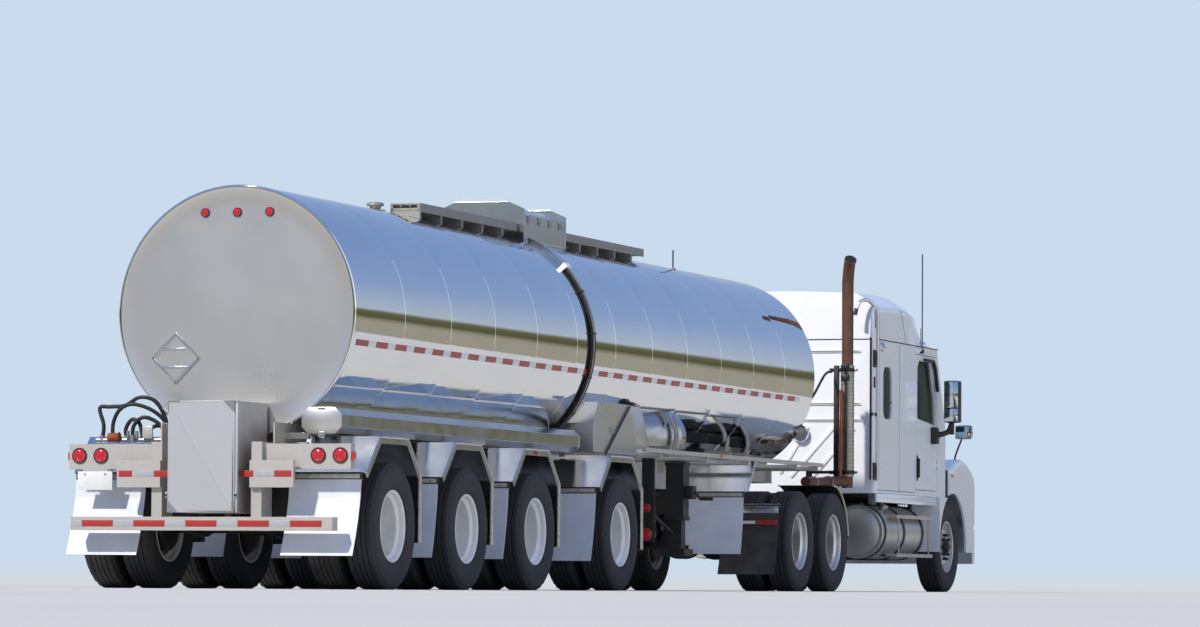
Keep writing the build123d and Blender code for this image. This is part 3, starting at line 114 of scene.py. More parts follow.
BARREL_R = 1.05
BARREL_Z = 2.28
FUEL_TANK_Y = 0.9
FUEL_TANK_Z = 0.66
FUEL_TANK_R = 0.295
DUST_ROUGHNESS = 0.85
COAT_ROUGHNESS = 0.06
REFRACTION = 1.5
SAME = 1e-6


class Side(Enum):
    """The two sides of the truck, each with the sign of its y."""

    LEFT = 1
    RIGHT = -1

    @property
    def word(self) -> str:
        """The side as it stands in the names of the pieces."""
        return self.name.lower()


def to_linear(code: str, alpha: float = 1.0) -> tuple[float, float, float, float]:
    """Turns an sRGB hex colour to linear light.

    Args:
        code: The colour as six hex digits with a hash sign.
        alpha: The opacity that goes with it.

    Returns:
        Red, green, blue and alpha.
    """
    parts = [int(code[i : i + 2], 16) / 255 for i in (1, 3, 5)]
    light = [p / 12.92 if p <= 0.04045 else ((p + 0.055) / 1.055) ** 2.4 for p in parts]
    return (light[0], light[1], light[2], alpha)


def add_node(
    tree: bpy.types.NodeTree, kind: str, inputs: dict[str | int, object] | None = None, **settings: object
) -> bpy.types.Node:
    """Adds one node with its settings and links.

    Args:
        tree: The node tree that gets it.
        kind: The node's type name.
        inputs: A value or an output socket for each input, by name or number.
        settings: The node's own properties.

    Returns:
        The new node.
    """
    made = tree.nodes.new(kind)
    for key, value in settings.items():
        setattr(made, key, value)
    for key, value in (inputs or {}).items():
        if isinstance(value, bpy.types.NodeSocket):
            tree.links.new(value, made.inputs[key])
        else:
            made.inputs[key].default_value = value
    return made


def mix_colours(
    tree: bpy.types.NodeTree, share: object, first: object, second: object
) -> bpy.types.NodeSocket:
    """Mixes two colours by a share."""
    return add_node(tree, "ShaderNodeMix", {0: share, 6: first, 7: second}, data_type="RGBA").outputs[2]


def around(count: int, radius: float, shift: float = 0.0) -> list[tuple[float, float]]:
    """Places at even steps round a circle.

    Args:
        count: How many there are.
        radius: The circle's radius.
        shift: The share of a step by which the first one is turned.

    Returns:
        Each place as two offsets from the circle's middle.
    """
    turns = (math.tau * (i + shift) / count for i in range(count))
    return [(radius * math.cos(a), radius * math.sin(a)) for a in turns]


@dataclass(frozen=True)
class Finish:
    """A surface finish: two shades that wander into each other, a gloss that wanders too, and road dust.

    Sizes of the patterns are in millimetres on the real surface. Patterns read Object coordinates.
    """

    name: str
    colour: str
    shade: str
    metallic: float = 0.0
    roughness: float = 0.5
    spread: float = 0.06
    patch_mm: float = 400.0
    grain_mm: float = 6.0
    grain_bump_mm: float = 0.0
    stretch: tuple[float, float, float] = (1.0, 1.0, 1.0)
    wave_mm: float = 0.0
    wave_size_mm: float = 500.0
    dust: float = 0.0
    dust_colour: str = "#8F877A"
    coat: float = 0.0
    glow: float = 0.0
    opacity: float = 1.0

    def build(self) -> bpy.types.Material:
        """Makes the material, or hands back the one made before."""
        known = bpy.data.materials.get(self.name)
        if known:
            return known
        material = bpy.data.materials.new(self.name)
        material.use_nodes = True
        tree = material.node_tree
        tree.nodes.clear()
        shader = self.shader(tree, add_node(tree, "ShaderNodeTexCoord").outputs["Object"])
        add_node(tree, "ShaderNodeOutputMaterial", {"Surface": shader.outputs[0]})
        material.diffuse_color = to_linear(self.colour, self.opacity)
        return material

    def shader(self, tree: bpy.types.NodeTree, place: bpy.types.NodeSocket) -> bpy.types.Node:
        """The surface's shader, with its patterns."""
        patches = self.noise(tree, place, self.patch_mm, 5.0)
        tint = mix_colours(tree, patches, to_linear(self.shade), to_linear(self.colour))
        dull, bright = self.roughness + self.spread, self.roughness - self.spread
        rough = add_node(
            tree, "ShaderNodeMapRange", {"Value": patches, 1: 0.25, 2: 0.75, 3: dull, 4: bright}
        ).outputs[0]
        if self.dust:
            film = self.film(tree, place)
            tint = mix_colours(tree, film, tint, to_linear(self.dust_colour))
            rough = add_node(tree, "ShaderNodeMix", {0: film, 2: rough, 3: DUST_ROUGHNESS}).outputs[0]
        inputs: dict[str | int, object] = {
            "Base Color": tint, "Roughness": rough, "Metallic": self.metallic, "Coat Weight": self.coat,
            "Coat Roughness": COAT_ROUGHNESS, "IOR": REFRACTION
        }
        relief = self.relief(tree, place)
        if relief is not None:
            inputs["Normal"] = relief
        if self.glow:
            inputs["Emission Color"] = to_linear(self.colour)
            inputs["Emission Strength"] = self.glow
        return add_node(tree, "ShaderNodeBsdfPrincipled", inputs)

    def noise(
        self, tree: bpy.types.NodeTree, place: bpy.types.NodeSocket, size_mm: float, detail: float
    ) -> bpy.types.NodeSocket:
        """A cloudy pattern whose lumps have a real size.

        Args:
            tree: The material's node tree.
            place: The coordinates that the pattern follows.
            size_mm: The lumps' size.
            detail: How fine the smallest lumps are.

        Returns:
            The pattern's value.
        """
        scale = tuple(1000.0 / size_mm * s for s in self.stretch)
        spot = add_node(tree, "ShaderNodeMapping", {"Vector": place, "Scale": scale}).outputs[0]
        return add_node(
            tree, "ShaderNodeTexNoise", {"Vector": spot, "Scale": 1.0, "Detail": detail}
        ).outputs[0]

    def film(self, tree: bpy.types.NodeTree, place: bpy.types.NodeSocket) -> bpy.types.NodeSocket:
        """The share of road dust, thick near the floor and gone at the height of the tank's middle."""
        height = add_node(tree, "ShaderNodeSeparateXYZ", {0: place}).outputs[2]
        low = add_node(
            tree, "ShaderNodeMapRange", {"Value": height, 1: 0.1, 2: 1.5, 3: self.dust, 4: self.dust * 0.12}
        ).outputs[0]
        cloud = self.noise(tree, place, 170.0, 6.0)
        patchy = add_node(
            tree, "ShaderNodeMapRange", {"Value": cloud, 1: 0.3, 2: 0.7, 3: 0.35, 4: 1.0}
        ).outputs[0]
        return add_node(tree, "ShaderNodeMath", {0: low, 1: patchy}, operation="MULTIPLY").outputs[0]

    def relief(self, tree: bpy.types.NodeTree, place: bpy.types.NodeSocket) -> bpy.types.NodeSocket | None:
        """The bump of the grain and of the long waves, or None on a surface with neither."""
        normal = None
        for size, depth, detail in (
            (self.wave_size_mm, self.wave_mm, 1.0), (self.grain_mm, self.grain_bump_mm, 4.0)
        ):
            if not depth:
                continue
            inputs: dict[str | int, object] = {
                "Height": self.noise(tree, place, size, detail), "Distance": depth * MM, "Strength": 1.0
            }
            if normal is not None:
                inputs["Normal"] = normal
            normal = add_node(tree, "ShaderNodeBump", inputs).outputs[0]
        return normal


class Pane(Finish):
    """Tinted safety glass: clear, with a dark tint and hardly any ripple."""

    def shader(self, tree: bpy.types.NodeTree, place: bpy.types.NodeSocket) -> bpy.types.Node:
        """The pane's shader: a tint that clouds a little, seen through."""
        cloud = self.noise(tree, place, self.patch_mm, 3.0)
        inputs = {
            "Base Color": mix_colours(tree, cloud, to_linear(self.shade), to_linear(self.colour)),
            "Roughness": self.roughness, "Alpha": self.opacity, "IOR": REFRACTION
        }
        return add_node(tree, "ShaderNodeBsdfPrincipled", inputs)


# Mirror-polished stainless steel sheet: bright and sharp, with the slow waves of thin sheet
POLISHED_STEEL = Finish(
    "polished_stainless_steel", "#EDEDEA", "#DDDEDD", 1.0, 0.045, 0.02, 900.0, wave_mm=0.9,
    wave_size_mm=480.0
)
# The rear head's stainless steel, ground to a satin finish: reflections blur to soft clouds
SATIN_STEEL = Finish(
    "satin_stainless_steel", "#DEDBD6", "#CCC9C4", 0.9, 0.3, 0.05, 700.0, grain_mm=3.0, grain_bump_mm=0.02
)
# Mill-finish aluminium plate and extrusion, weathered: pale warm grey with streaks and dull patches
WEATHERED_ALUMINIUM = Finish(
    "weathered_aluminium", "#CFC9BD", "#A59F94", 0.45, 0.45, 0.12, 160.0, grain_mm=4.0, grain_bump_mm=0.05,
    dust=0.35
)
# Bright rolled aluminium of the fenders and the hose tube: shiny with soft waves
BRIGHT_ALUMINIUM = Finish(
    "bright_aluminium", "#D9DADA", "#B9BABC", 1.0, 0.16, 0.07, 260.0, wave_mm=0.5, wave_size_mm=260.0,
    dust=0.25
)
# The rear posts' and beams' aluminium, dulled to a warm beige grey by the road
WARM_ALUMINIUM = Finish(
    "oxidised_aluminium", "#C6C3BD", "#9F9B94", 0.4, 0.45, 0.12, 190.0, grain_mm=4.0, grain_bump_mm=0.06,
    dust=0.3
)
# Hot-dip galvanised steel: dull grey with pale and dark crystals
GALVANISED_STEEL = Finish("galvanised_steel", "#97958F", "#85837E", 0.5, 0.5, 0.1, 90.0, dust=0.1)
# Ribbed aluminised sheet of the heat shield, tanned by heat
SHIELD_ALUMINIUM = Finish("aluminised_steel", "#B3AC98", "#8C8573", 0.7, 0.42, 0.1, 150.0)
# Bare copper tube, browned
COPPER_TUBE = Finish("browned_copper", "#B06A48", "#7E4630", 0.9, 0.38, 0.1, 80.0)
# Pale polyethylene edge strip
CREAM_PLASTIC = Finish("cream_polyethylene", "#C9BFA4", "#ADA38A", 0.0, 0.45, 0.08, 60.0)
# Light grey powder-coated sheet of the rear cabinet: even, with a faint pebble
GREY_POWDER_COAT = Finish(
    "grey_powder_coat", "#B9BABC", "#A9AAAD", 0.35, 0.38, 0.05, 350.0, grain_mm=2.0, grain_bump_mm=0.05,
    dust=0.2
)
# Black chassis enamel under road film: nearly black, dull, brown in the recesses
CHASSIS_ENAMEL = Finish(
    "black_chassis_enamel", "#1D1C1B", "#121212", 0.1, 0.5, 0.12, 130.0, grain_mm=5.0, grain_bump_mm=0.12,
    dust=0.45, dust_colour="#4B443C"
)
# Two-pack white enamel over primer: smooth and glossy with a clear coat
WHITE_ENAMEL = Finish("white_enamel", "#F1F3F5", "#E4E8EC", 0.0, 0.24, 0.05, 700.0, coat=0.6, dust=0.16)
# White stoved enamel on steel wheels, chalky from the road
WHEEL_ENAMEL = Finish(
    "white_wheel_enamel", "#F4F3F0", "#E0DEDA", 0.0, 0.42, 0.1, 120.0, coat=0.1, dust=0.22
)
# Forged aluminium wheel, machined and polished: bright with fine turning marks
FORGED_ALUMINIUM = Finish(
    "forged_aluminium", "#E4E2DC", "#CFCBC3", 0.75, 0.28, 0.06, 90.0, grain_mm=3.0, grain_bump_mm=0.03,
    dust=0.2
)
# Tyre compound of carbon black and natural rubber: matt near-black, greyed by dust on the sidewall
TYRE_COMPOUND = Finish(
    "tyre_rubber", "#232323", "#161616", 0.0, 0.78, 0.1, 90.0, grain_mm=2.5, grain_bump_mm=0.15, dust=0.45,
    dust_colour="#5A5650"
)
# Black moulded rubber of hoses, seals and grommets
HOSE_RUBBER = Finish(
    "black_moulded_rubber", "#1B1B1C", "#101011", 0.0, 0.55, 0.1, 60.0, grain_mm=2.0, grain_bump_mm=0.06
)
# White polypropylene sheet of the splash flaps: milky, scuffed, streaked by spray
FLAP_SHEET = Finish(
    "white_polypropylene", "#E2E6EC", "#C4CAD4", 0.0, 0.42, 0.1, 240.0, grain_mm=12.0, grain_bump_mm=0.2,
    dust=0.3, dust_colour="#9A9A9A"
)
# Black moulded polypropylene with a fine leather grain
MOULDED_BLACK = Finish(
    "black_moulded_plastic", "#202123", "#17181A", 0.0, 0.5, 0.08, 200.0, grain_mm=1.5, grain_bump_mm=0.06,
    dust=0.25
)
# Grey grained ABS of the dashboard and trim
GREY_ABS = Finish(
    "grey_grained_abs", "#5B5C60", "#4C4D51", 0.0, 0.6, 0.06, 200.0, grain_mm=1.2, grain_bump_mm=0.05
)
# Woven grey seat cloth: matt, with a coarse weave that shows as small bumps
SEAT_CLOTH = Finish(
    "grey_seat_cloth", "#6A6C72", "#55575C", 0.0, 0.9, 0.04, 60.0, grain_mm=3.0, grain_bump_mm=0.5
)
# Mild steel exhaust tube browned by heat: rust red-brown with dark and pale patches
HEATED_STEEL = Finish(
    "heat_browned_steel", "#7A5644", "#4A3228", 0.55, 0.55, 0.12, 120.0, grain_mm=4.0, grain_bump_mm=0.12
)
# Red acrylic lens: deep and glossy, ribbed inside, with a faint glow. Where it also covers the stand's pipe
# caps and the red air coupling on the cab's rear wall, which are no lamps, that glow is painted light
RED_ACRYLIC = Finish(
    "red_acrylic_lens", "#C3202A", "#8E0F18", 0.0, 0.15, 0.04, 30.0, grain_mm=5.0, grain_bump_mm=0.25,
    coat=0.8, glow=0.12
)
# Amber acrylic lens
AMBER_ACRYLIC = Finish(
    "amber_acrylic_lens", "#DC6A28", "#B04A14", 0.0, 0.18, 0.04, 30.0, grain_mm=5.0, grain_bump_mm=0.25,
    coat=0.8, glow=0.1
)
# Silver-grey retroreflective vinyl: flat, with a fine honeycomb of prisms, drawn coarse enough to show
SILVER_TAPE = Finish(
    "silver_reflective_vinyl", "#A9ABAE", "#999B9F", 0.1, 0.35, 0.06, 40.0, grain_mm=4.0, grain_bump_mm=0.1
)
# Red retroreflective vinyl of the same make
RED_TAPE = Finish(
    "red_reflective_vinyl", "#A8302C", "#8E2522", 0.0, 0.35, 0.06, 40.0, grain_mm=4.0, grain_bump_mm=0.1
)
# Silver-white retroreflective vinyl
WHITE_TAPE = Finish(
    "white_reflective_vinyl", "#DCDDDC", "#C6C7C6", 0.0, 0.3, 0.06, 40.0, grain_mm=4.0, grain_bump_mm=0.1
)
# Chromium plate on steel or brass: dark-bright and sharp
CHROMIUM_PLATE = Finish("chromium_plate", "#DDE0E3", "#C9CDD1", 1.0, 0.07, 0.03, 120.0)
# Cast iron of the engine, painted grey and oily
CAST_IRON = Finish(
    "grey_cast_iron", "#5A5B5C", "#3C3C3C", 0.5, 0.6, 0.1, 90.0, grain_mm=4.0, grain_bump_mm=0.3
)
# Fuel tank aluminium, brushed round and polished
TANK_ALUMINIUM = Finish(
    "brushed_aluminium", "#DEDAD2", "#B9B5AD", 0.85, 0.3, 0.06, 140.0, grain_mm=5.0, grain_bump_mm=0.05,
    stretch=(6.0, 1.0, 1.0), dust=0.35
)
# Zinc-plated steel of nuts and clamps
ZINC_PLATE = Finish("zinc_plated_steel", "#B8B9B6", "#8F908D", 0.9, 0.35, 0.1, 20.0)
# Mirror glass with its silvering
SILVERED_GLASS = Finish("silvered_glass", "#DDE6E4", "#CFDAD8", 1.0, 0.03, 0.01, 300.0)
# Rusted iron of old fittings
RUSTED_IRON = Finish(
    "rusted_iron", "#A4573A", "#6E3522", 0.2, 0.8, 0.08, 25.0, grain_mm=2.5, grain_bump_mm=0.3
)
# Tinted laminated glass of the cab
TINTED_GLASS = Pane("tinted_laminated_glass", "#2B3A3C", "#1E292B", 0.0, 0.04, 0.0, 300.0, opacity=0.62)
# Smoked acrylic of the sun visor
SMOKED_ACRYLIC = Pane("smoked_acrylic", "#8C948C", "#7C847C", 0.0, 0.08, 0.0, 300.0, opacity=0.9)
# Clear polycarbonate of head lamps
CLEAR_LENS = Pane("clear_polycarbonate", "#DDE6EA", "#C7D2D8", 0.0, 0.05, 0.0, 60.0, opacity=0.35)


@dataclass
class Shape:
    """A mesh in the making, put together from bmesh operators in the truck's own frame."""

    finishes: tuple[Finish, ...]
    bm: bmesh.types.BMesh = field(default_factory=bmesh.new)

    def tag(self, faces: Iterable[bmesh.types.BMFace], finish: int) -> None:
        """Gives faces one of the shape's finishes."""
        for face in faces:
            face.material_index = finish

    def soften(self, edges: Iterable[bmesh.types.BMEdge], width: float, clamp: bool = True) -> None:
        """Rounds edges off."""
        bmesh.ops.bevel(
            self.bm, geom=list(edges), offset=width, offset_type="OFFSET", segments=2, profile=0.5,
            affect="EDGES", material=-1, clamp_overlap=clamp
        )

    def box(
        self, start: Point, end: Point, bevel: float = 0.0, finish: int = 0, turn: Matrix | None = None
    ) -> None:
        """Adds a block with softened edges.

        Args:
            start: One corner.
            end: The corner across from it.
            bevel: The width of its softened edges.
            finish: Which finish it gets.
            turn: A rotation about its middle.
        """
        low, high = Vector([*map(min, start, end)]), Vector([*map(max, start, end)])
        size = Matrix.Diagonal((*(high - low), 1))
        place = Matrix.Translation((low + high) / 2) @ (turn or Matrix()) @ size
        verts = bmesh.ops.create_cube(self.bm, size=1.0, matrix=place)["verts"]
        self.tag({f for v in verts for f in v.link_faces}, finish)
        if bevel:
            self.soften({e for v in verts for e in v.link_edges}, bevel)

    def blocks(self, x: float, *rows: Sequence[float]) -> None:
        """Adds a row of softened blocks.

        Args:
            x: The x from which the rows' own x values count.
            rows: Each block's spans along x, y and z, and then its bevel and its finish, where it has them.
        """
        for x0, x1, y0, y1, z0, z1, *rest in rows:
            self.box((x + x0, y0, z0), (x + x1, y1, z1), *rest)

    def rib(self, x: float, start: Point, end: Point, half: Point, bevel: float, over: float = 0.0) -> None:
        """Adds a strip that lies on a cross wall, at any slant.

        Args:
            x: The x of its middle.
            start: The y and z of one end.
            end: The y and z of the other end.
            half: Half its thickness and half its width.
            bevel: The width of its softened edges.
            over: How much longer it is than the line from end to end.
        """
        (y0, z0), (y1, z1) = start, end
        middle = Vector((x, (y0 + y1) / 2, (z0 + z1) / 2))
        reach = Vector((half[0], (math.hypot(y1 - y0, z1 - z0) + over) / 2, half[1]))
        turn = Matrix.Rotation(math.atan2(z1 - z0, y1 - y0), 4, "X")
        self.box(middle - reach, middle + reach, bevel, turn=turn)

    def bar(
        self, start: Point, end: Point, radius: float, sides: int = 16, finish: int = 0, bevel: float = 0.0
    ) -> None:
        """Adds a round bar or, with few sides, a nut.

        Args:
            start: The middle of one end.
            end: The middle of the other end.
            radius: Its radius.
            sides: How many flats it is made of.
            finish: Which finish it gets.
            bevel: The width of the softened rims.
        """
        a, b = Vector(start), Vector(end)
        run = b - a
        place = Matrix.Translation((a + b) / 2) @ run.to_track_quat("Z", "Y").to_matrix().to_4x4()
        verts = bmesh.ops.create_cone(
            self.bm, cap_ends=True, segments=sides, radius1=radius, radius2=radius, depth=run.length,
            matrix=place
        )["verts"]
        self.tag({f for v in verts for f in v.link_faces}, finish)
        if bevel:
            caps = {f for v in verts for f in v.link_faces if len(f.verts) == sides}
            self.soften({e for f in caps for e in f.edges}, bevel, clamp=False)

    def turned(
        self, profile: Sequence[Point], centre: Point, axis: Point, steps: int, finish: int = 0,
        closed: bool = False, angle: float = math.tau, start: float = 0.0
    ) -> None:
        """Turns a profile about an axis.

        Args:
            profile: Pairs of radius and distance along the axis.
            centre: A point on the axis, from which distances count.
            axis: The axis' direction.
            steps: How many steps the turn has.
            finish: Which finish it gets.
            closed: Whether the profile's last point joins its first.
            angle: How far it turns.
            start: The angle at which it starts.
        """
        along = Vector(axis).normalized()
        out = Vector(UP) if abs(along.x) > 0.9 else along.orthogonal().normalized()
        out = Matrix.Rotation(start, 3, along) @ out
        origin = Vector(centre)
        verts = [self.bm.verts.new(origin + out * r + along * d) for r, d in profile]
        edges = [self.bm.edges.new(pair) for pair in zip(verts, verts[1:])]
        if closed:
            edges.append(self.bm.edges.new((verts[-1], verts[0])))
        before = set(self.bm.faces)
        full = abs(angle - math.tau) < SAME
        bmesh.ops.spin(
            self.bm, geom=verts + edges, cent=origin, axis=along, dvec=ORIGIN, angle=angle, steps=steps,
            use_merge=full
        )
        faces = [f for f in self.bm.faces if f not in before]
        self.tag(faces, finish)
        made = list({v for f in faces for v in f.verts})
        bmesh.ops.remove_doubles(self.bm, verts=made, dist=SAME)
        bmesh.ops.recalc_face_normals(self.bm, faces=[f for f in faces if f.is_valid])

    def band(
        self, centre: Point, axis: Point, inner: float, outer: float, half: float, steps: int, finish: int
    ) -> None:
        """Turns a flat ring about an axis.

        Args:
            centre: The ring's middle.
            axis: The axis' direction.
            inner: Its inner radius.
            outer: Its outer radius.
            half: Half its width along the axis.
            steps: How many steps the turn has.
            finish: Which finish it gets.
        """
        section = [(inner, -half), (outer, -half), (outer, half), (inner, half)]
        self.turned(section, centre, axis, steps, finish, closed=True)

    def plate(self, outline: Sequence[Point], push: Point, bevel: float = 0.0, finish: int = 0) -> None:
        """Adds a flat outline pushed along a vector.

        Args:
            outline: The corners in order, in the truck's frame.
            push: The way and distance that it is pushed.
            bevel: The width of its softened edges.
            finish: Which finish it gets.
        """
        verts = [self.bm.verts.new(p) for p in outline]
        face = self.bm.faces.new(verts)
        grown = bmesh.ops.extrude_face_region(self.bm, geom=[face])["geom"]
        moved = [g for g in grown if isinstance(g, bmesh.types.BMVert)]
        bmesh.ops.translate(self.bm, verts=moved, vec=Vector(push))
        faces = list({f for v in verts + moved for f in v.link_faces})
        bmesh.ops.recalc_face_normals(self.bm, faces=faces)
        self.tag(faces, finish)
        if bevel:
            self.soften({e for f in faces for e in f.edges}, bevel)

    def tube(self, points: Sequence[Point], radius: float, sides: int = 12, finish: int = 0) -> None:
        """Adds a round tube along a line, from a ring that is extruded and turned from point to point.

        Args:
            points: The line's points in order.
            radius: The tube's radius.
            sides: How many flats go round it.
            finish: Which finish it gets.
        """
        line = [Vector(p) for p in points]
        direction = (line[1] - line[0]).normalized()
        before = set(self.bm.faces)
        ring = bmesh.ops.create_circle(
            self.bm, cap_ends=True, segments=sides, radius=radius,
            matrix=Matrix.Translation(line[0]) @ direction.to_track_quat("Z", "Y").to_matrix().to_4x4()
        )["verts"]
        edges = list({e for v in ring for e in v.link_edges})
        for i in range(1, len(line)):
            grown = bmesh.ops.extrude_edge_only(self.bm, edges=edges)["geom"]
            ring = [g for g in grown if isinstance(g, bmesh.types.BMVert)]
            fresh = set(ring)
            edges = [g for g in grown if isinstance(g, bmesh.types.BMEdge) and set(g.verts) <= fresh]
            after = (line[min(i + 1, len(line) - 1)] - line[i - 1]).normalized()
            bmesh.ops.translate(self.bm, verts=ring, vec=line[i] - line[i - 1])
            bend = direction.rotation_difference(after).to_matrix()
            bmesh.ops.rotate(self.bm, verts=ring, cent=line[i], matrix=bend)
            direction = after
        bmesh.ops.edgeloop_fill(self.bm, edges=edges)
        faces = [f for f in self.bm.faces if f not in before]
        bmesh.ops.recalc_face_normals(self.bm, faces=faces)
        self.tag(faces, finish)

    def hose(self, points: Sequence[Point], radius: float, finish: int = 0, sides: int = 12) -> None:
        """Adds a tube along the smooth line through a few points."""
        self.tube(smooth_line(points), radius, sides, finish)

    def frame(self, outline: Sequence[Point], width: float, push: Point, finish: int = 0) -> None:
        """Adds a flat ring that follows an outline inwards, pushed along a vector.

        Args:
            outline: The outer corners in order.
            width: The ring's width.
            push: The way and distance that it is pushed.
            finish: Which finish it gets.
        """
        verts = [self.bm.verts.new(p) for p in outline]
        face = self.bm.faces.new(verts)
        face.normal_update()
        ring = bmesh.ops.inset_region(self.bm, faces=[face], thickness=width, use_even_offset=True)["faces"]
        bmesh.ops.delete(self.bm, geom=[face], context="FACES_ONLY")
        grown = bmesh.ops.extrude_face_region(self.bm, geom=ring)["geom"]
        moved = [g for g in grown if isinstance(g, bmesh.types.BMVert)]
        bmesh.ops.translate(self.bm, verts=moved, vec=Vector(push))
        faces = list({f for v in moved for f in v.link_faces} | set(ring))
        bmesh.ops.recalc_face_normals(self.bm, faces=faces)
        self.tag(faces, finish)

    def both_sides(self) -> None:
        """Adds the mirror image on the truck's other side."""
        grown = bmesh.ops.duplicate(
            self.bm, geom=list(self.bm.verts) + list(self.bm.edges) + list(self.bm.faces)
        )
        verts = [g for g in grown["geom"] if isinstance(g, bmesh.types.BMVert)]
        faces = [g for g in grown["geom"] if isinstance(g, bmesh.types.BMFace)]
        bmesh.ops.scale(self.bm, vec=(1, -1, 1), verts=verts)
        bmesh.ops.reverse_faces(self.bm, faces=faces)

    def piece(
        self, name: str, body: str, slot: str, smooth_deg: float = 32.0, replaces: Sequence[str] = ()
    ) -> bpy.types.Object:
        """Turns the shape into a finished piece that rides on a body.

        Args:
            name: The piece's name.
            body: The body that it rides on.
            slot: The record's material slot; not used.
            smooth_deg: Edges sharper than this stay crisp.
            replaces: The solids that it stands for.

        Returns:
            The new object.
        """
        mesh = bpy.data.meshes.new(name)
        self.bm.to_mesh(mesh)
        self.bm.free()
        for finish in self.finishes:
            mesh.materials.append(finish.build())
        mesh.polygons.foreach_set("use_smooth", [True] * len(mesh.polygons))
        mesh.set_sharp_from_angle(angle=math.radians(smooth_deg))
        made = bpy.data.objects.new(name, mesh)
        bpy.context.scene.collection.objects.link(made)
        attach(made, body)
        if replaces:
            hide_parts(*replaces)
        LOG.info("piece %s: %d faces on %s", name, len(mesh.polygons), body)
        return made


def smooth_line(points: Sequence[Point]) -> list[Vector]:
    """A smooth line through points, from the third-order curve that passes through each of them.

    Args:
        points: The points that it passes.

    Returns:
        The line's points.
    """
    known = [Vector(p) for p in points]
    steps = 6
    ends = [known[0] * 2 - known[1], *known, known[-1] * 2 - known[-2]]
    line = []
    for before, a, b, after in zip(ends, ends[1:], ends[2:], ends[3:]):
        for i in range(steps):
            t = i / steps
            bend = 2 * before - 5 * a + 4 * b - after
            twist = 3 * a - before - 3 * b + after
            line.append(0.5 * (2 * a + (b - before) * t + bend * t * t + twist * t * t * t))
    line.append(known[-1])
    return line


@dataclass
class Places:
    """Where the solids stand, read from the frame."""

    frame: dict

    def joint(self, name: str) -> Vector:
        """A joint's place at rest."""
        found = next(j for j in self.frame["joints"] if j["name"] == name)
        return Vector(found["pos_m"])

    @property
    def rear_axle_x(self) -> float:
        """The x of the trailer's rearmost axle, from which stations count."""
        return self.joint("trailer_wheels_1_left_spin").x

    def x(self, station: float) -> float:
        """The x of a station."""
        return self.rear_axle_x + station

    def node(self, name: str) -> bpy.types.Object:
        """A solid's object."""
        return self.frame["nodes"][name]


def dress(
    places: Places, node: str, *finishes: Finish, bevel_mm: float = 0.0,
    choose: Callable[[Vector, Vector], int] | None = None
) -> None:
    """Gives a solid its finish, and softened edges where it has them.

    Args:
        places: Where the solids stand.
        node: The solid's name.
        finishes: Its finishes.
        bevel_mm: The width of the softened edges.
        choose: Picks a finish by number from a face's middle and normal, where there is more than one.
    """
    solid = places.node(node)
    solid.data.materials.clear()
    for finish in finishes:
        solid.data.materials.append(finish.build())
    for face in solid.data.polygons:
        face.material_index = choose(face.center, face.normal) if choose else 0
    if bevel_mm:
        weld = solid.modifiers.new("weld", "WELD")
        weld.merge_threshold = 10 * SAME
        bevel = solid.modifiers.new("bevel", "BEVEL")
        bevel.width = bevel_mm * MM
        bevel.segments = 2
        bevel.limit_method = "ANGLE"
        bevel.angle_limit = math.radians(40)
        bevel.harden_normals = True


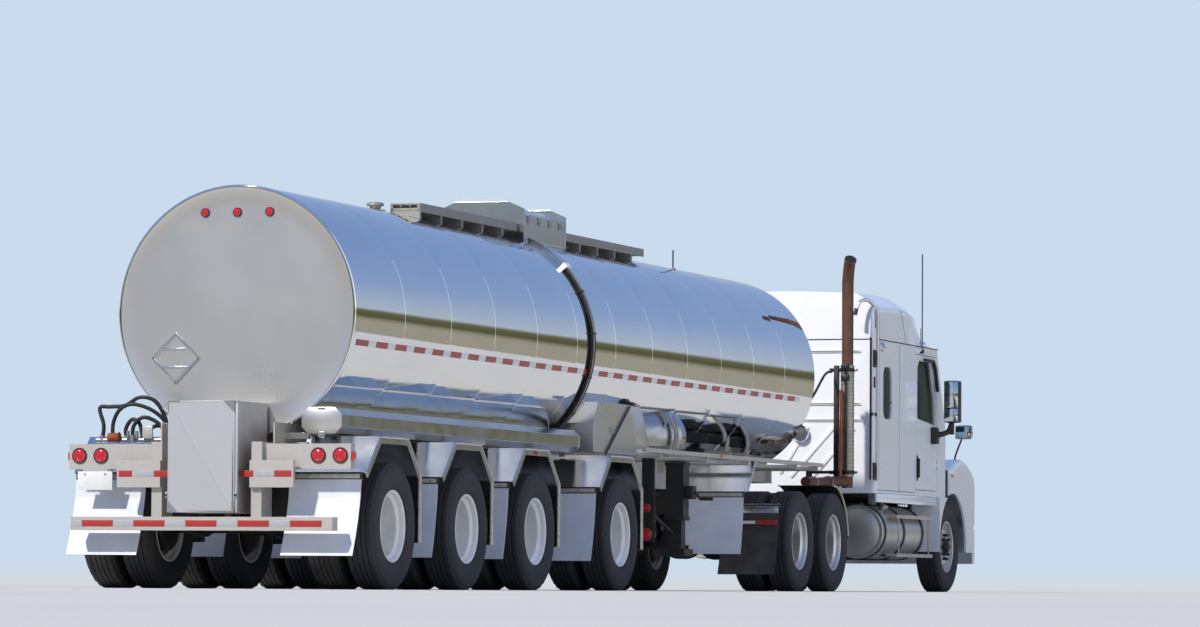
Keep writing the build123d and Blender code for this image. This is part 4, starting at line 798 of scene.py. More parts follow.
@dataclass
class Studio:
    """The floor, the soft light and the camera at the photograph's place."""

    eye: Point = (-50.61, -16.31, 0.035)
    heading: Point = (0.9514, 0.3079)
    pitch_deg: float = 2.943
    roll_deg: float = 0.355
    focal_px: float = 5315.0
    image_px: float = 1200.0
    floor_ahead: float = 60.0
    floor_behind: float = 70.0
    floor_half: float = 17.0

    def build(self) -> None:
        """Makes the studio."""
        bpy.context.scene.view_settings.view_transform = "Standard"
        self.camera()
        self.floor()
        self.sky()
        self.lights()

    def camera(self) -> None:
        """Sets the camera low behind the truck, with the photograph's long lens."""
        data = bpy.data.cameras.new("camera")
        data.sensor_width = 36.0
        data.sensor_fit = "HORIZONTAL"
        data.lens = self.focal_px / self.image_px * data.sensor_width
        data.clip_start = 0.5
        data.clip_end = 4000.0
        pitch, roll = math.radians(self.pitch_deg), math.radians(self.roll_deg)
        ahead = Vector(
            (self.heading[0] * math.cos(pitch), self.heading[1] * math.cos(pitch), math.sin(pitch))
        )
        right = Vector((self.heading[1], -self.heading[0], 0)).normalized()
        up = right.cross(ahead)
        right, up = (
            right * math.cos(roll) + up * math.sin(roll), up * math.cos(roll) - right * math.sin(roll)
        )
        turn = Matrix((right, up, -ahead)).transposed().to_4x4()
        camera = bpy.data.objects.new("camera", data)
        camera.matrix_world = Matrix.Translation(self.eye) @ turn
        bpy.context.scene.collection.objects.link(camera)
        bpy.context.scene.camera = camera

    def floor(self) -> None:
        """Lays the plain pale floor, a wide strip along the camera's view."""
        mesh = bpy.data.meshes.new("floor")
        bm = bmesh.new()
        reach = (self.floor_ahead + self.floor_behind) / 2
        shift = Matrix.Translation(((self.floor_ahead - self.floor_behind) / 2, 0, 0))
        turn = Matrix.Rotation(math.atan2(self.heading[1], self.heading[0]), 4, "Z")
        size = Matrix.Diagonal((reach, self.floor_half, 1.0, 1.0))
        bmesh.ops.create_grid(bm, x_segments=4, y_segments=4, size=1.0, matrix=turn @ shift @ size)
        bm.to_mesh(mesh)
        bm.free()
        floor = bpy.data.objects.new("floor", mesh)
        bpy.context.scene.collection.objects.link(floor)
        # Pale concrete: even light grey with faint clouds
        concrete = Finish(
            "pale_concrete", "#CCC8BE", "#C2BEB4", 0.0, 0.8, 0.05, 2500.0, grain_mm=15.0, grain_bump_mm=0.4
        )
        mesh.materials.append(concrete.build())
        floor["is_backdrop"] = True

    def sky(self) -> None:
        """Surrounds the scene with a plain pale sky, and with verge, trees and blue sky for the mirrors."""
        world = bpy.data.worlds.new("studio")
        bpy.context.scene.world = world
        world.use_nodes = True
        tree = world.node_tree
        tree.nodes.clear()
        place = add_node(tree, "ShaderNodeTexCoord").outputs["Generated"]
        height = add_node(tree, "ShaderNodeSeparateXYZ", {0: place}).outputs[2]
        mirrored = (
            (0.0, "#A39F92"), (0.015, "#8F8B7A"), (0.03, "#56593F"), (0.06, "#676A4E"), (0.075, "#B5C2D4"),
            (0.22, "#8FA9D6"), (0.5, "#6F8DC8"), (1.0, "#86A0D2")
        )
        plain = ((0.0, "#D3D9DC"), (0.004, "#C9DBEC"))
        ray = add_node(tree, "ShaderNodeLightPath").outputs["Is Camera Ray"]
        colour = mix_colours(tree, ray, self.ramp(tree, height, mirrored), self.ramp(tree, height, plain))
        back = add_node(tree, "ShaderNodeBackground", {"Color": colour, "Strength": 1.0})
        add_node(tree, "ShaderNodeOutputWorld", {"Surface": back.outputs[0]})

    def ramp(
        self, tree: bpy.types.NodeTree, height: bpy.types.NodeSocket, stops: Sequence[tuple[float, str]]
    ) -> bpy.types.NodeSocket:
        """A run of colours over the height, from stops of height and colour."""
        made = add_node(tree, "ShaderNodeValToRGB", {0: height})
        elements = made.color_ramp.elements
        while len(elements) < len(stops):
            elements.new(0.5)
        for element, (where, code) in zip(elements, stops):
            element.position = where
            element.color = to_linear(code)
        return made.outputs[0]

    def lights(self) -> None:
        """Adds the key light, high behind the truck and to its left, and a broad fill from its right."""
        for name, energy, spread, tint, toward in (
            ("key", 4.0, 3.0, (1.0, 0.95, 0.88), (0.66, -0.3, -0.69)),
            ("fill", 0.75, 70.0, (1.0, 0.97, 0.95), (0.35, 0.9, -0.3))
        ):
            data = bpy.data.lights.new(name, "SUN")
            data.energy = energy
            data.angle = math.radians(spread)
            data.color = tint
            light = bpy.data.objects.new(name, data)
            light.rotation_mode = "QUATERNION"
            light.rotation_quaternion = Vector(toward).to_track_quat("-Z", "Y")
            bpy.context.scene.collection.objects.link(light)


@dataclass
class Wheels:
    """Tyres and rims, turned once for each kind and then set on every axle."""

    places: Places
    tyre_r: float = 0.52
    rim_r: float = 0.29
    half: float = 0.137
    bead_half: float = 0.104
    dual_half_gap: float = 0.1715
    steps: int = 96
    rim_steps: int = 72
    grooves: tuple[float, ...] = (-0.066, -0.022, 0.022, 0.066)
    groove_half: float = 0.005
    groove_depth: float = 0.013
    notch: float = 0.01
    hub_steps: int = 48
    drum_r: float = 0.209
    nuts: int = 10
    nut_circle: float = 0.1425

    def build(self) -> None:
        """Makes every wheel."""
        tyre = self.tyre()
        duals = (
            ("trailer", 4, self.dual_rim(WHEEL_ENAMEL, 0.068), "rim_white"),
            ("drive", 2, self.dual_rim(FORGED_ALUMINIUM, 0.095), "rim_aluminium")
        )
        steer_rim = self.steer_rim()
        pair = (-self.dual_half_gap, self.dual_half_gap)
        for side in Side:
            for kind, count, rim, slot in duals:
                for number in range(1, count + 1):
                    end = f"{number}_{side.word}"
                    body = f"{kind}_wheels_{end}"
                    self.place(tyre, body, f"{kind}_tyres_{end}", "moulded", side, "tyre_rubber", pair)
                    self.place(rim, body, f"{kind}_rims_{end}", "pressed", side, slot)
            body = f"steer_wheel_{side.word}"
            self.place(tyre, body, f"steer_tyre_{side.word}", "moulded", side, "tyre_rubber")
            self.place(steer_rim, body, f"steer_rim_{side.word}", "forged", side, "rim_aluminium")
        for source in (tyre, steer_rim, *(rim for _, _, rim, _ in duals)):
            source.bm.free()

    def place(
        self, source: Shape, body: str, node: str, made: str, side: Side, slot: str,
        offsets: Sequence[float] = (0.0,)
    ) -> None:
        """Sets copies of a turned shape on one end of an axle.

        Args:
            source: The shape, about the y axis, with its outer face towards +y.
            body: The body that it rides on.
            node: The solid that it stands for.
            made: How it was made, which ends its name.
            side: The side of the truck.
            slot: The record's material slot.
            offsets: How far each copy lies outward from the middle.
        """
        at = self.places.joint(f"{body}_spin")
        mesh = bpy.data.meshes.new("wheel_part")
        source.bm.to_mesh(mesh)
        shape = Shape(source.finishes)
        for offset in offsets:
            start = len(shape.bm.verts)
            shape.bm.from_mesh(mesh)
            shape.bm.verts.ensure_lookup_table()
            fresh = shape.bm.verts[start:]
            if side is Side.RIGHT:
                turn = Matrix.Rotation(math.pi, 3, "Z")
                bmesh.ops.rotate(shape.bm, verts=fresh, cent=ORIGIN, matrix=turn)
            bmesh.ops.translate(shape.bm, verts=fresh, vec=at + Vector((0, offset * side.value, 0)))
        bpy.data.meshes.remove(mesh)
        shape.piece(f"{node}_{made}", body, slot, replaces=[node])

    def tyre(self) -> Shape:
        """Turns a road tyre with ribs, shoulder notches and bead rings."""
        r, w, g = self.tyre_r, self.half, self.groove_half
        side_wall = [
            (self.rim_r + 0.002, self.bead_half), (self.rim_r + 0.018, self.bead_half + 0.012),
            (self.rim_r + 0.03, self.bead_half + 0.013), (self.rim_r + 0.034, self.bead_half + 0.018),
            (0.375, w - 0.004), (0.41, w), (0.445, w - 0.001), (0.474, w - 0.006), (0.478, w - 0.003),
            (0.49, w - 0.007), (0.503, w - 0.016), (0.515, w - 0.023), (r - 0.0005, w - 0.027)
        ]
        across = [(r, w - 0.034)]
        for groove in reversed(self.grooves):
            across += [
                (r, groove + g), (r - self.groove_depth, groove + g * 0.6),
                (r - self.groove_depth, groove - g * 0.6), (r, groove - g)
            ]
        across.append((r, -w + 0.034))
        far = [(radius, -y) for radius, y in reversed(side_wall)]
        foot = self.rim_r - 0.004
        profile = [*side_wall, *across, *far, (foot, -self.bead_half), (foot, self.bead_half)]
        shape = Shape((TYRE_COMPOUND,))
        shape.turned(profile, ORIGIN, ACROSS, self.steps, closed=True)
        pitch = math.tau / self.steps
        for vert in shape.bm.verts:
            radius = math.hypot(vert.co.x, vert.co.z)
            on_shoulder = radius > 0.5 and abs(abs(vert.co.y) - (w - 0.022)) < 0.009
            turn = round(math.atan2(vert.co.z, vert.co.x) / pitch)
            if on_shoulder and turn % 3 == 0:
                vert.co.x *= 1 - self.notch / radius
                vert.co.z *= 1 - self.notch / radius
                vert.co.y *= 1 - 0.004 / w
        return shape

    def pierced(
        self, outline: Sequence[Point], finish: Finish, at_y: float, circle: float, radius: float
    ) -> Shape:
        """Turns a rim and cuts a ring of round hand holes through its disc.

        Args:
            outline: The rim's section, as pairs of radius and distance along the axis.
            finish: The rim's finish; the hub's and the nuts' come after it.
            at_y: Where the disc lies along the axis.
            circle: The radius of the ring of holes.
            radius: A hole's radius.

        Returns:
            The rim, about the y axis.
        """
        shape = Shape((finish, CHASSIS_ENAMEL, ZINC_PLATE))
        shape.turned(outline, ORIGIN, ACROSS, self.rim_steps, closed=True)
        cutters = Shape((CHASSIS_ENAMEL,))
        for x, z in around(self.nuts, circle, 0.5):
            cutters.bar((x, at_y - 0.07, z), (x, at_y + 0.07, z), radius, 20)
        loose = []
        for source in (shape, cutters):
            mesh = bpy.data.meshes.new("rim_part")
            source.bm.to_mesh(mesh)
            source.bm.clear()
            loose.append(bpy.data.objects.new("rim_part", mesh))
            bpy.context.scene.collection.objects.link(loose[-1])
        blank, tool = loose
        cut = blank.modifiers.new("holes", "BOOLEAN")
        cut.operation = "DIFFERENCE"
        cut.object = tool
        cut.solver = "EXACT"
        bpy.context.view_layer.update()
        result = bpy.data.meshes.new_from_object(blank.evaluated_get(bpy.context.evaluated_depsgraph_get()))
        shape.bm.from_mesh(result)
        cutters.bm.free()
        for mesh in (blank.data, tool.data, result):
            bpy.data.meshes.remove(mesh)
        return shape

    def nut_ring(self, shape: Shape, face_y: float, circle: float, finish: int) -> None:
        """Adds the wheel nuts with their studs."""
        for x, z in around(self.nuts, circle):
            shape.bar((x, face_y - 0.002, z), (x, face_y + 0.026, z), 0.0185, 6, finish, bevel=0.002)
            shape.bar((x, face_y + 0.024, z), (x, face_y + 0.044, z), 0.0105, 10, finish)

    def dual_rim(self, finish: Finish, hub_r: float) -> Shape:
        """Turns the two dished rims of a pair with their hub, drum and nuts."""
        out, lip = self.dual_half_gap, self.bead_half + 0.003
        r = self.rim_r
        outer = [
            (r - 0.04, out + 0.02), (r - 0.042, out + 0.05), (r - 0.03, out + 0.066),
            (r - 0.018, out + 0.072), (r - 0.015, out + lip - 0.014), (r - 0.008, out + lip + 0.004),
            (r + 0.002, out + lip + 0.01), (r + 0.007, out + lip + 0.008), (r + 0.008, out + lip + 0.002),
            (r - 0.0005, out + lip - 0.004), (r - 0.001, out - lip), (r - 0.055, 0.02), (r - 0.07, 0.002),
            (0.112, 0.0), (0.112, 0.014), (r - 0.074, 0.015), (r - 0.062, 0.032), (r - 0.034, out - 0.092),
            (r - 0.027, out - 0.06)
        ]
        shape = self.pierced(outer, finish, 0.024, 0.196, 0.026)
        inner = [(radius, -y) for radius, y in outer]
        shape.turned(inner, ORIGIN, ACROSS, self.rim_steps, closed=True)
        hub = [
            (0.0, out - 0.062), (hub_r * 0.7, out - 0.063), (hub_r, out - 0.075), (hub_r + 0.006, 0.062),
            (hub_r + 0.022, 0.052), (hub_r + 0.026, 0.016), (0.112, 0.016)
        ]
        shape.turned(hub, ORIGIN, ACROSS, self.hub_steps, finish=1)
        self.nut_ring(shape, 0.014, self.nut_circle + 0.01, 2)
        for x, z in around(8, hub_r * 0.78, 0.5):
            shape.bar((x, out - 0.068, z), (x, out - 0.052, z), 0.0075, 6, 2)
        d = self.drum_r
        drum = [
            (0.0, -0.018), (0.205, -0.018), (d, -0.03), (d, -0.12), (0.216, -0.124), (0.216, -0.14),
            (d, -0.144), (d, -0.275), (0.19, -0.293), (0.048, -0.293)
        ]
        shape.turned(drum, ORIGIN, ACROSS, self.hub_steps, finish=1)
        return shape

    def steer_rim(self) -> Shape:
        """Turns the polished front wheel with round hand holes and a black hub."""
        lip, r = self.bead_half + 0.003, self.rim_r
        outline = [
            (0.115, 0.084), (0.18, 0.084), (0.222, 0.08), (0.243, 0.066), (r - 0.024, 0.05),
            (r - 0.017, 0.07), (r - 0.01, lip - 0.008), (r - 0.008, lip + 0.004), (r + 0.002, lip + 0.01),
            (r + 0.007, lip + 0.008), (r + 0.008, lip + 0.002), (r - 0.0005, lip - 0.004),
            (r - 0.001, -lip), (r - 0.016, -lip), (r - 0.03, 0.02), (0.24, 0.05), (0.22, 0.064),
            (0.115, 0.066)
        ]
        shape = self.pierced(outline, FORGED_ALUMINIUM, 0.074, 0.205, 0.024)
        hub = [
            (0.0, 0.144), (0.045, 0.143), (0.06, 0.134), (0.066, 0.12), (0.072, 0.118), (0.08, 0.095),
            (0.1, 0.088), (0.114, 0.085), (0.116, 0.066)
        ]
        shape.turned(hub, ORIGIN, ACROSS, self.hub_steps, finish=1)
        self.nut_ring(shape, 0.082, self.nut_circle, 1)
        drum = [(0.0, 0.064), (0.206, 0.056), (0.206, -0.08), (0.196, -0.086), (0.048, -0.086)]
        shape.turned(drum, ORIGIN, ACROSS, self.hub_steps, finish=1)
        return shape


@dataclass
class Barrel:
    """The tank's polished jacket with its sheet joints, its two heads and what is fixed on them."""

    places: Places
    rear: float = -0.31
    front: float = 13.62
    lap: float = 0.028
    dish: float = 0.17
    sheets: int = 12
    groove: float = 0.0022
    crown: float = 0.0022
    steps: int = 200
    tape_z: float = 2.025
    tape_h: float = 0.05
    red_len: float = 0.28
    silver_len: float = 0.18
    placard_y: float = 0.535
    placard_z: float = 1.9
    placard_half: float = 0.2

    def build(self) -> None:
        """Makes the barrel's pieces."""
        self.jacket()
        self.tape()
        self.placard()

    def jacket(self) -> None:
        """The jacket of rolled sheets between a satin rear head and a dished front head."""
        rear, front = self.places.x(self.rear), self.places.x(self.front)
        r, edge = BARREL_R, BARREL_R - self.crown
        shape = Shape((POLISHED_STEEL, SATIN_STEEL, CHASSIS_ENAMEL))
        centre = (0.0, 0.0, BARREL_Z)
        sheet = (self.front - self.rear - self.lap) / self.sheets
        profile: list[Point] = []
        for i in range(self.sheets):
            start = self.places.x(self.rear + self.lap + i * sheet)
            for share in (0.003, 0.02, 0.12, 0.3, 0.5, 0.7, 0.88, 0.98, 0.997):
                bulge = self.crown * (1 - (2 * share - 1) ** 4)
                profile.append((r - self.crown + bulge, start + share * sheet))
            profile.append((r - self.groove - self.crown, start + sheet))
        shape.turned(profile, centre, ALONG, self.steps)
        rim = 0.014
        head = [(edge, rear + 0.032)]
        for i in range(7):
            a = math.pi / 2 * i / 6
            head.append((r - rim + rim * math.cos(a), rear + rim - rim * math.sin(a)))
        head.append((r - 0.024, rear + 0.001))
        shape.turned(head, centre, ALONG, self.steps)
        flat = [(r - 0.024, rear + 0.001), (r - 0.034, rear + 0.004)]
        for share in (0.85, 0.6, 0.35, 0.15, 0.0):
            flat.append(((r - 0.034) * share, rear + 0.002 - 0.006 * (1 - share)))
        shape.turned(flat, centre, ALONG, self.steps, finish=1)
        dished = [(edge, front), (r - 0.018, front + 0.012), (r - 0.06, front + 0.045)]
        span, rise = r - 0.06, self.dish - 0.045
        curve = (span**2 + rise**2) / (2 * rise)
        for share in (0.85, 0.7, 0.55, 0.4, 0.25, 0.12, 0.0):
            d = span * share
            dished.append((d, front + self.dish - curve + math.sqrt(curve**2 - d**2)))
        shape.turned(dished, centre, ALONG, self.steps)
        _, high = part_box("tank")
        shape.box((self.places.x(self.front + 0.04), -0.445, 1.755), (high.x, -0.355, 1.845), 0.006, 2)
        shape.piece("polished_barrel", "trailer", "polished_skin", smooth_deg=25, replaces=["tank"])

    def tape(self) -> None:
        """The red and silver reflective strips along both sides."""
        drop, half = BARREL_Z - self.tape_z, self.tape_h / 2
        low, high = math.asin((drop + half) / BARREL_R), math.asin((drop - half) / BARREL_R)
        r = BARREL_R + 0.0012
        pitch = self.red_len + self.silver_len
        count = int((self.front - self.rear - 0.2) / pitch)
        for name, slot, finish, start, length in (
            ("red_side_tape", "red_lens", RED_TAPE, 0.0, self.red_len),
            ("silver_side_tape", "frame_aluminium", WHITE_TAPE, self.red_len, self.silver_len)
        ):
            shape = Shape((finish,))
            for i in range(count):
                a = self.places.x(self.rear + 0.1 + i * pitch + start)
                shape.turned(
                    [(r, a), (r, a + length)], (0, 0, BARREL_Z), ALONG, 4, angle=low - high,
                    start=math.pi / 2 + high
                )
            bmesh.ops.solidify(shape.bm, geom=list(shape.bm.faces), thickness=-0.0008)
            shape.both_sides()
            shape.piece(name, "trailer", slot)

    def placard(self) -> None:
        """The blank diamond placard holder on the rear head, with its two cross bars."""
        shape = Shape((BRIGHT_ALUMINIUM, SATIN_STEEL))
        x = self.places.x(self.rear) - 0.004
        y, z, h = self.placard_y, self.placard_z, self.placard_half
        corners = [(y + h, z), (y, z + h), (y - h, z), (y, z - h)]
        shape.plate([(x, cy, cz) for cy, cz in corners], (-0.003, 0, 0), finish=1)
        for start, end in zip(corners, corners[1:] + corners[:1]):
            shape.rib(x - 0.006, start, end, (0.006, 0.009), 0.002, over=0.012)
        for dz in (0.075, -0.075):
            reach = h - abs(dz) - 0.004
            shape.box((x - 0.01, y - reach, z + dz - 0.008), (x - 0.002, y + reach, z + dz + 0.008), 0.002)
        for cy, cz in corners:
            at_y, at_z = cy * 0.97 + y * 0.03, cz * 0.97 + z * 0.03
            shape.bar((x, at_y, at_z), (x - 0.014, at_y, at_z), 0.007, 10)
        shape.piece("placard_holder", "trailer", "frame_aluminium")


@dataclass
class Lamp:
    """A round lamp in a rubber grommet: a domed lens with raised rings."""

    radius: float
    depth: float = 0.022

    def add(self, shape: Shape, at: Point, facing: Point, lens: int, grommet: int) -> None:
        """Adds the lamp to a shape.

        Args:
            shape: The shape that gets it.
            at: The middle of its back.
            facing: The way that it shines.
            lens: The finish number of the lens.
            grommet: The finish number of the grommet.
        """
        r, d = self.radius, self.depth
        ring = ((1.02, 0.0), (1.12, 0.0), (1.12, 0.35), (1.05, 0.55), (0.93, 0.5), (0.9, 0.0))
        shape.turned([(r * a, d * b) for a, b in ring], at, facing, 32, finish=grommet, closed=True)
        dome = (
            (0.0, 1.0), (0.25, 0.99), (0.27, 0.9), (0.32, 0.96), (0.58, 0.9), (0.6, 0.82), (0.64, 0.87),
            (0.82, 0.72), (0.92, 0.45), (0.92, 0.0)
        )
        shape.turned([(r * a, d * b) for a, b in dome], at, facing, 32, finish=lens)


@dataclass
class RearEnd:
    """Lamps, reflective strips, the cabinet's trim and the plate on the trailer's rear."""

    places: Places
    beam: float = -0.88
    lamp_y: tuple[float, ...] = (0.95, 1.14)
    lamp_z: float = 1.08
    lamp_r: float = 0.058
    head_lamp_y: tuple[float, ...] = (-0.285, 0.0, 0.285)
    head_lamp_z: float = 3.1
    head_lamp_r: float = 0.036

    def build(self) -> None:
        """Makes the rear end's pieces."""
        self.lamps()
        self.tape()
        self.cabinet()
        self.plate()

    def lamps(self) -> None:
        """The round lamps and the small side markers."""
        shape = Shape((RED_ACRYLIC, HOSE_RUBBER))
        x = self.places.x(self.beam)
        for side in Side:
            for y in self.lamp_y:
                Lamp(self.lamp_r).add(shape, (x, side.value * y, self.lamp_z), BACK, 0, 1)
            y = side.value * 1.2303
            shape.box((x + 0.012, y, 1.04), (x + 0.078, y + side.value * 0.02, 1.11), 0.006)
        rear = self.places.x(-0.31) + 0.002
        for y in self.head_lamp_y:
            Lamp(self.head_lamp_r).add(shape, (rear, y, self.head_lamp_z), BACK, 0, 1)
        shape.piece("rear_lamp_lenses", "trailer", "red_lens", replaces=["trailer_lamps"])

    def strip(self, shapes: Sequence[Shape], x: float, span: Point, z: Point, lengths: Point) -> None:
        """Lays red and white strips side by side across a bar, red first.

        Args:
            shapes: The red and the white shape.
            x: The bar's rear face.
            span: The y at which the first strip starts and the last one ends.
            z: The strips' lower and upper edge.
            lengths: A red and a white strip's length.
        """
        y, white = span[0], 0
        while y < span[1] - 0.01:
            length = min(lengths[white], span[1] - y)
            shapes[white].box((x - 0.0016, y + 0.001, z[0]), (x + 0.0004, y + length - 0.001, z[1]), 0.0005)
            y += length
            white = 1 - white

    def tape(self) -> None:
        """The strips on the underride bar and on the step bar."""
        red, white = Shape((RED_TAPE,)), Shape((SILVER_TAPE,))
        underride, step = (-1.05, (0.5, 0.552)), (-0.97, (0.905, 0.957))
        for (station, z), span, lengths in (
            (underride, (-1.05, 1.14), (0.274, 0.18)), (step, (-0.755, -0.44), (0.15, 0.18)),
            (step, (-0.425, -0.3), (0.125, 0.1)), (step, (0.3, 0.62), (0.145, 0.19)),
            (step, (0.635, 0.755), (0.12, 0.1))
        ):
            self.strip((red, white), self.places.x(station), span, z, lengths)
        red.piece("red_rear_tape", "trailer", "red_lens")
        white.piece("white_rear_tape", "trailer", "frame_aluminium")

    def cabinet(self) -> None:
        """The door's folded cross-break, its corner gussets, latches and edge trim."""
        low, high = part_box("cabinet_door")
        x, z0, z1 = low.x, low.z, high.z
        half, edge, fold, gusset = 0.29, 0.014, 0.016, 0.095
        shape = Shape((GREY_POWDER_COAT, CHASSIS_ENAMEL, ZINC_PLATE))
        for (y0, a), (y1, b) in (
            ((-half, z0), (half, z0 + edge)), ((-half, z1 - edge), (half, z1)),
            ((-half, z0), (-half + edge, z1)), ((half - edge, z0), (half, z1))
        ):
            shape.box((x - 0.003, y0, a), (x + 0.001, y1, b), 0.001)
        top, bottom = (x - fold, half - edge, z1 - edge), (x - fold, edge - half, z0 + edge)
        for y, z in ((edge - half, z1 - edge), (half - edge, z0 + edge)):
            shape.plate([top, (x - 0.0012, y, z), bottom], (0.0008, 0, 0))
        shape.bar(top, bottom, 0.003, 8)
        face = x - 0.0062
        for sy, y in ((-1, half), (1, -half)):
            for sz, z in ((-1, z1), (1, z0)):
                outline = [(face, y, z), (face, y + sy * gusset, z), (face, y, z + sz * gusset)]
                shape.plate(outline, (-0.003, 0, 0), finish=2)
        for sign in (-1, 1):
            shape.box((x - 0.004, sign * 0.291, z0 + 0.115), (x + 0.03, sign * 0.312, z0 + 0.165), 0.004, 2)
            y, z = sign * 0.304, z0 + 0.14
            shape.bar((x - 0.012, y, z), (x + 0.002, y, z), 0.01, 12, finish=1)
        shape.piece("cabinet_door_trim", "cabinet_door", "frame_aluminium")

    def plate(self) -> None:
        """The blank plate under the left lamps, with its two screws."""
        x = self.places.x(self.beam)
        shape = Shape((WHITE_TAPE, ZINC_PLATE))
        shape.box((x - 0.0035, 0.848, 0.8), (x - 0.001, 1.152, 0.952), 0.0008)
        for y in (1.0 - 0.0889, 1.0 + 0.0889):
            shape.bar((x - 0.009, y, 0.93), (x - 0.002, y, 0.93), 0.008, 6, finish=1)
        shape.piece("blank_plate", "trailer", "frame_aluminium")


@dataclass
class AirLine:
    """The air line that hangs from the stack's bracket to the coupling on the tank's front head."""

    places: Places
    radius: float = 0.014
    route: tuple[tuple[float, float, float], ...] = (
        (15.11, -0.82, 2.4), (14.93, -0.82, 2.4), (14.76, -0.8, 2.28), (14.62, -0.74, 2.09),
        (14.45, -0.65, 1.92), (14.25, -0.54, 1.78), (14.05, -0.4, 1.8), (13.88, -0.4, 1.8)
    )

    def build(self) -> None:
        """Makes the line as a tube about its spline."""
        line = self.spline()
        length = sum((b - a).length for a, b in zip(line, line[1:]))
        shape = Shape((HOSE_RUBBER,))
        shape.tube(line, self.radius)
        made = shape.piece("air_line_hose", "tractor", "hose_rubber", replaces=["air_lines"])
        # It hangs between two bodies, so it leaves the one that it was made on
        made.parent = None
        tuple(line[-1])
        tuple(line[0])
        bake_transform(made)
        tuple(line[0])
        LOG.info("air line: %.3f m", length)

    def spline(self) -> list[Vector]:
        """The points along the route's smooth spline."""
        data = bpy.data.curves.new("air_line_path", "CURVE")
        data.dimensions = "3D"
        run = data.splines.new("NURBS")
        run.points.add(len(self.route) - 1)
        for point, (station, y, z) in zip(run.points, self.route):
            point.co = (self.places.x(station), y, z, 1.0)
        run.order_u = 3
        run.use_endpoint_u = True
        run.resolution_u = 12
        guide = bpy.data.objects.new("air_line_path", data)
        bpy.context.scene.collection.objects.link(guide)
        bpy.context.view_layer.update()
        mesh = bpy.data.meshes.new_from_object(guide)
        line = [v.co.copy() for v in mesh.vertices]
        bpy.data.objects.remove(guide)
        bpy.data.meshes.remove(mesh)
        return line


@dataclass
class Solids:
    """The solids that stay as they are and get their finishes, some of them more than one."""

    places: Places

    def build(self) -> None:
        """Dresses each of them."""
        plan: dict[str, tuple[Finish, float]] = {
            "trailer_frame": (WEATHERED_ALUMINIUM, 2.0), "trailer_axles": (CHASSIS_ENAMEL, 0.0),
            "trailer_fenders": (BRIGHT_ALUMINIUM, 1.5), "rear_bumper": (WARM_ALUMINIUM, 3.0),
            "rear_cabinet": (WARM_ALUMINIUM, 2.0), "cabinet_door": (GREY_POWDER_COAT, 1.5),
            "landing_gear": (CHASSIS_ENAMEL, 2.0), "tractor_frame": (CHASSIS_ENAMEL, 2.0),
            "fifth_wheel": (CHASSIS_ENAMEL, 2.0), "tractor_axles": (CHASSIS_ENAMEL, 0.0),
            "engine_block": (CAST_IRON, 5.0), "cab_roof": (WHITE_ENAMEL, 0.0),
            "cab_glass": (TINTED_GLASS, 0.0), "front_bumper": (WHITE_ENAMEL, 3.0),
            "hood": (WHITE_ENAMEL, 0.0), "knuckle_left": (CHASSIS_ENAMEL, 0.0),
            "knuckle_right": (CHASSIS_ENAMEL, 0.0)
        }
        for node, (finish, bevel) in plan.items():
            dress(self.places, node, finish, bevel_mm=bevel)
        self.mixed()

    def mixed(self) -> None:
        """Dresses the solids that have parts of different finishes, told apart by where their faces lie."""
        x = self.places.x
        parts: tuple[tuple[str, tuple[Finish, ...], float, Callable[[Vector, Vector], int]], ...] = (
            ("top_deck", (BRIGHT_ALUMINIUM, GALVANISED_STEEL), 2.0,
             lambda at, _: int(at.x < x(5.79) or at.x > x(7.06))),
            ("trailer_flaps", (FLAP_SHEET, CHASSIS_ENAMEL), 0.0,
             lambda at, _: int(at.z > 0.893 and abs(at.y) > 0.6 and (at.x < x(9.0) or at.z > 0.94))),
            ("side_boxes", (BRIGHT_ALUMINIUM, SATIN_STEEL), 4.0, lambda at, _: int(at.x > x(6.0))),
            ("cab_shell", (WHITE_ENAMEL, MOULDED_BLACK), 0.0,
             lambda at, _: int(abs(at.y) > 1.216 and at.z > 2.695)),
            ("cab_interior", (GREY_ABS, SEAT_CLOTH), 12.0, lambda at, _: int(at.x < x(17.9))),
            ("fuel_tanks", (TANK_ALUMINIUM, CHASSIS_ENAMEL, WEATHERED_ALUMINIUM), 0.0, self.fuel_finish),
            ("drive_fenders", (MOULDED_BLACK, BRIGHT_ALUMINIUM), 0.0,
             lambda at, _: int(at.x < x(12.0) and at.z > 0.86)),
            ("grille", (CHROMIUM_PLATE, CLEAR_LENS), 1.5, lambda at, _: int(abs(at.y) > 0.6)),
            ("door_left", (WHITE_ENAMEL, TINTED_GLASS, MOULDED_BLACK), 0.0, self.door_finish),
            ("door_right", (WHITE_ENAMEL, TINTED_GLASS, MOULDED_BLACK), 0.0, self.door_finish)
        )
        for node, finishes, bevel, choose in parts:
            dress(self.places, node, *finishes, bevel_mm=bevel, choose=choose)

    def fuel_finish(self, at: Vector, _: Vector) -> int:
        """The fuel tank's finish at a place: tank, strap or step."""
        reach = math.hypot(abs(at.y) - FUEL_TANK_Y, at.z - FUEL_TANK_Z)
        on_step = abs(at.y) > 1.125 and (0.38 < at.z < 0.43 or 0.81 < at.z < 0.86)
        if on_step and (reach > 0.302 or abs(at.y) > 1.215):
            return 2
        return int(reach > 0.2975)

    def door_finish(self, at: Vector, normal: Vector) -> int:
        """The door's finish at a place: panel, pane or mirror."""
        if 1.17 < abs(at.y) < 1.185 and abs(normal.y) > 0.9 and at.z > 1.85:
            return 1
        return 2 if abs(at.y) > 1.2265 or (abs(at.y) > 1.201 and 1.69 < at.z < 1.87) else 0


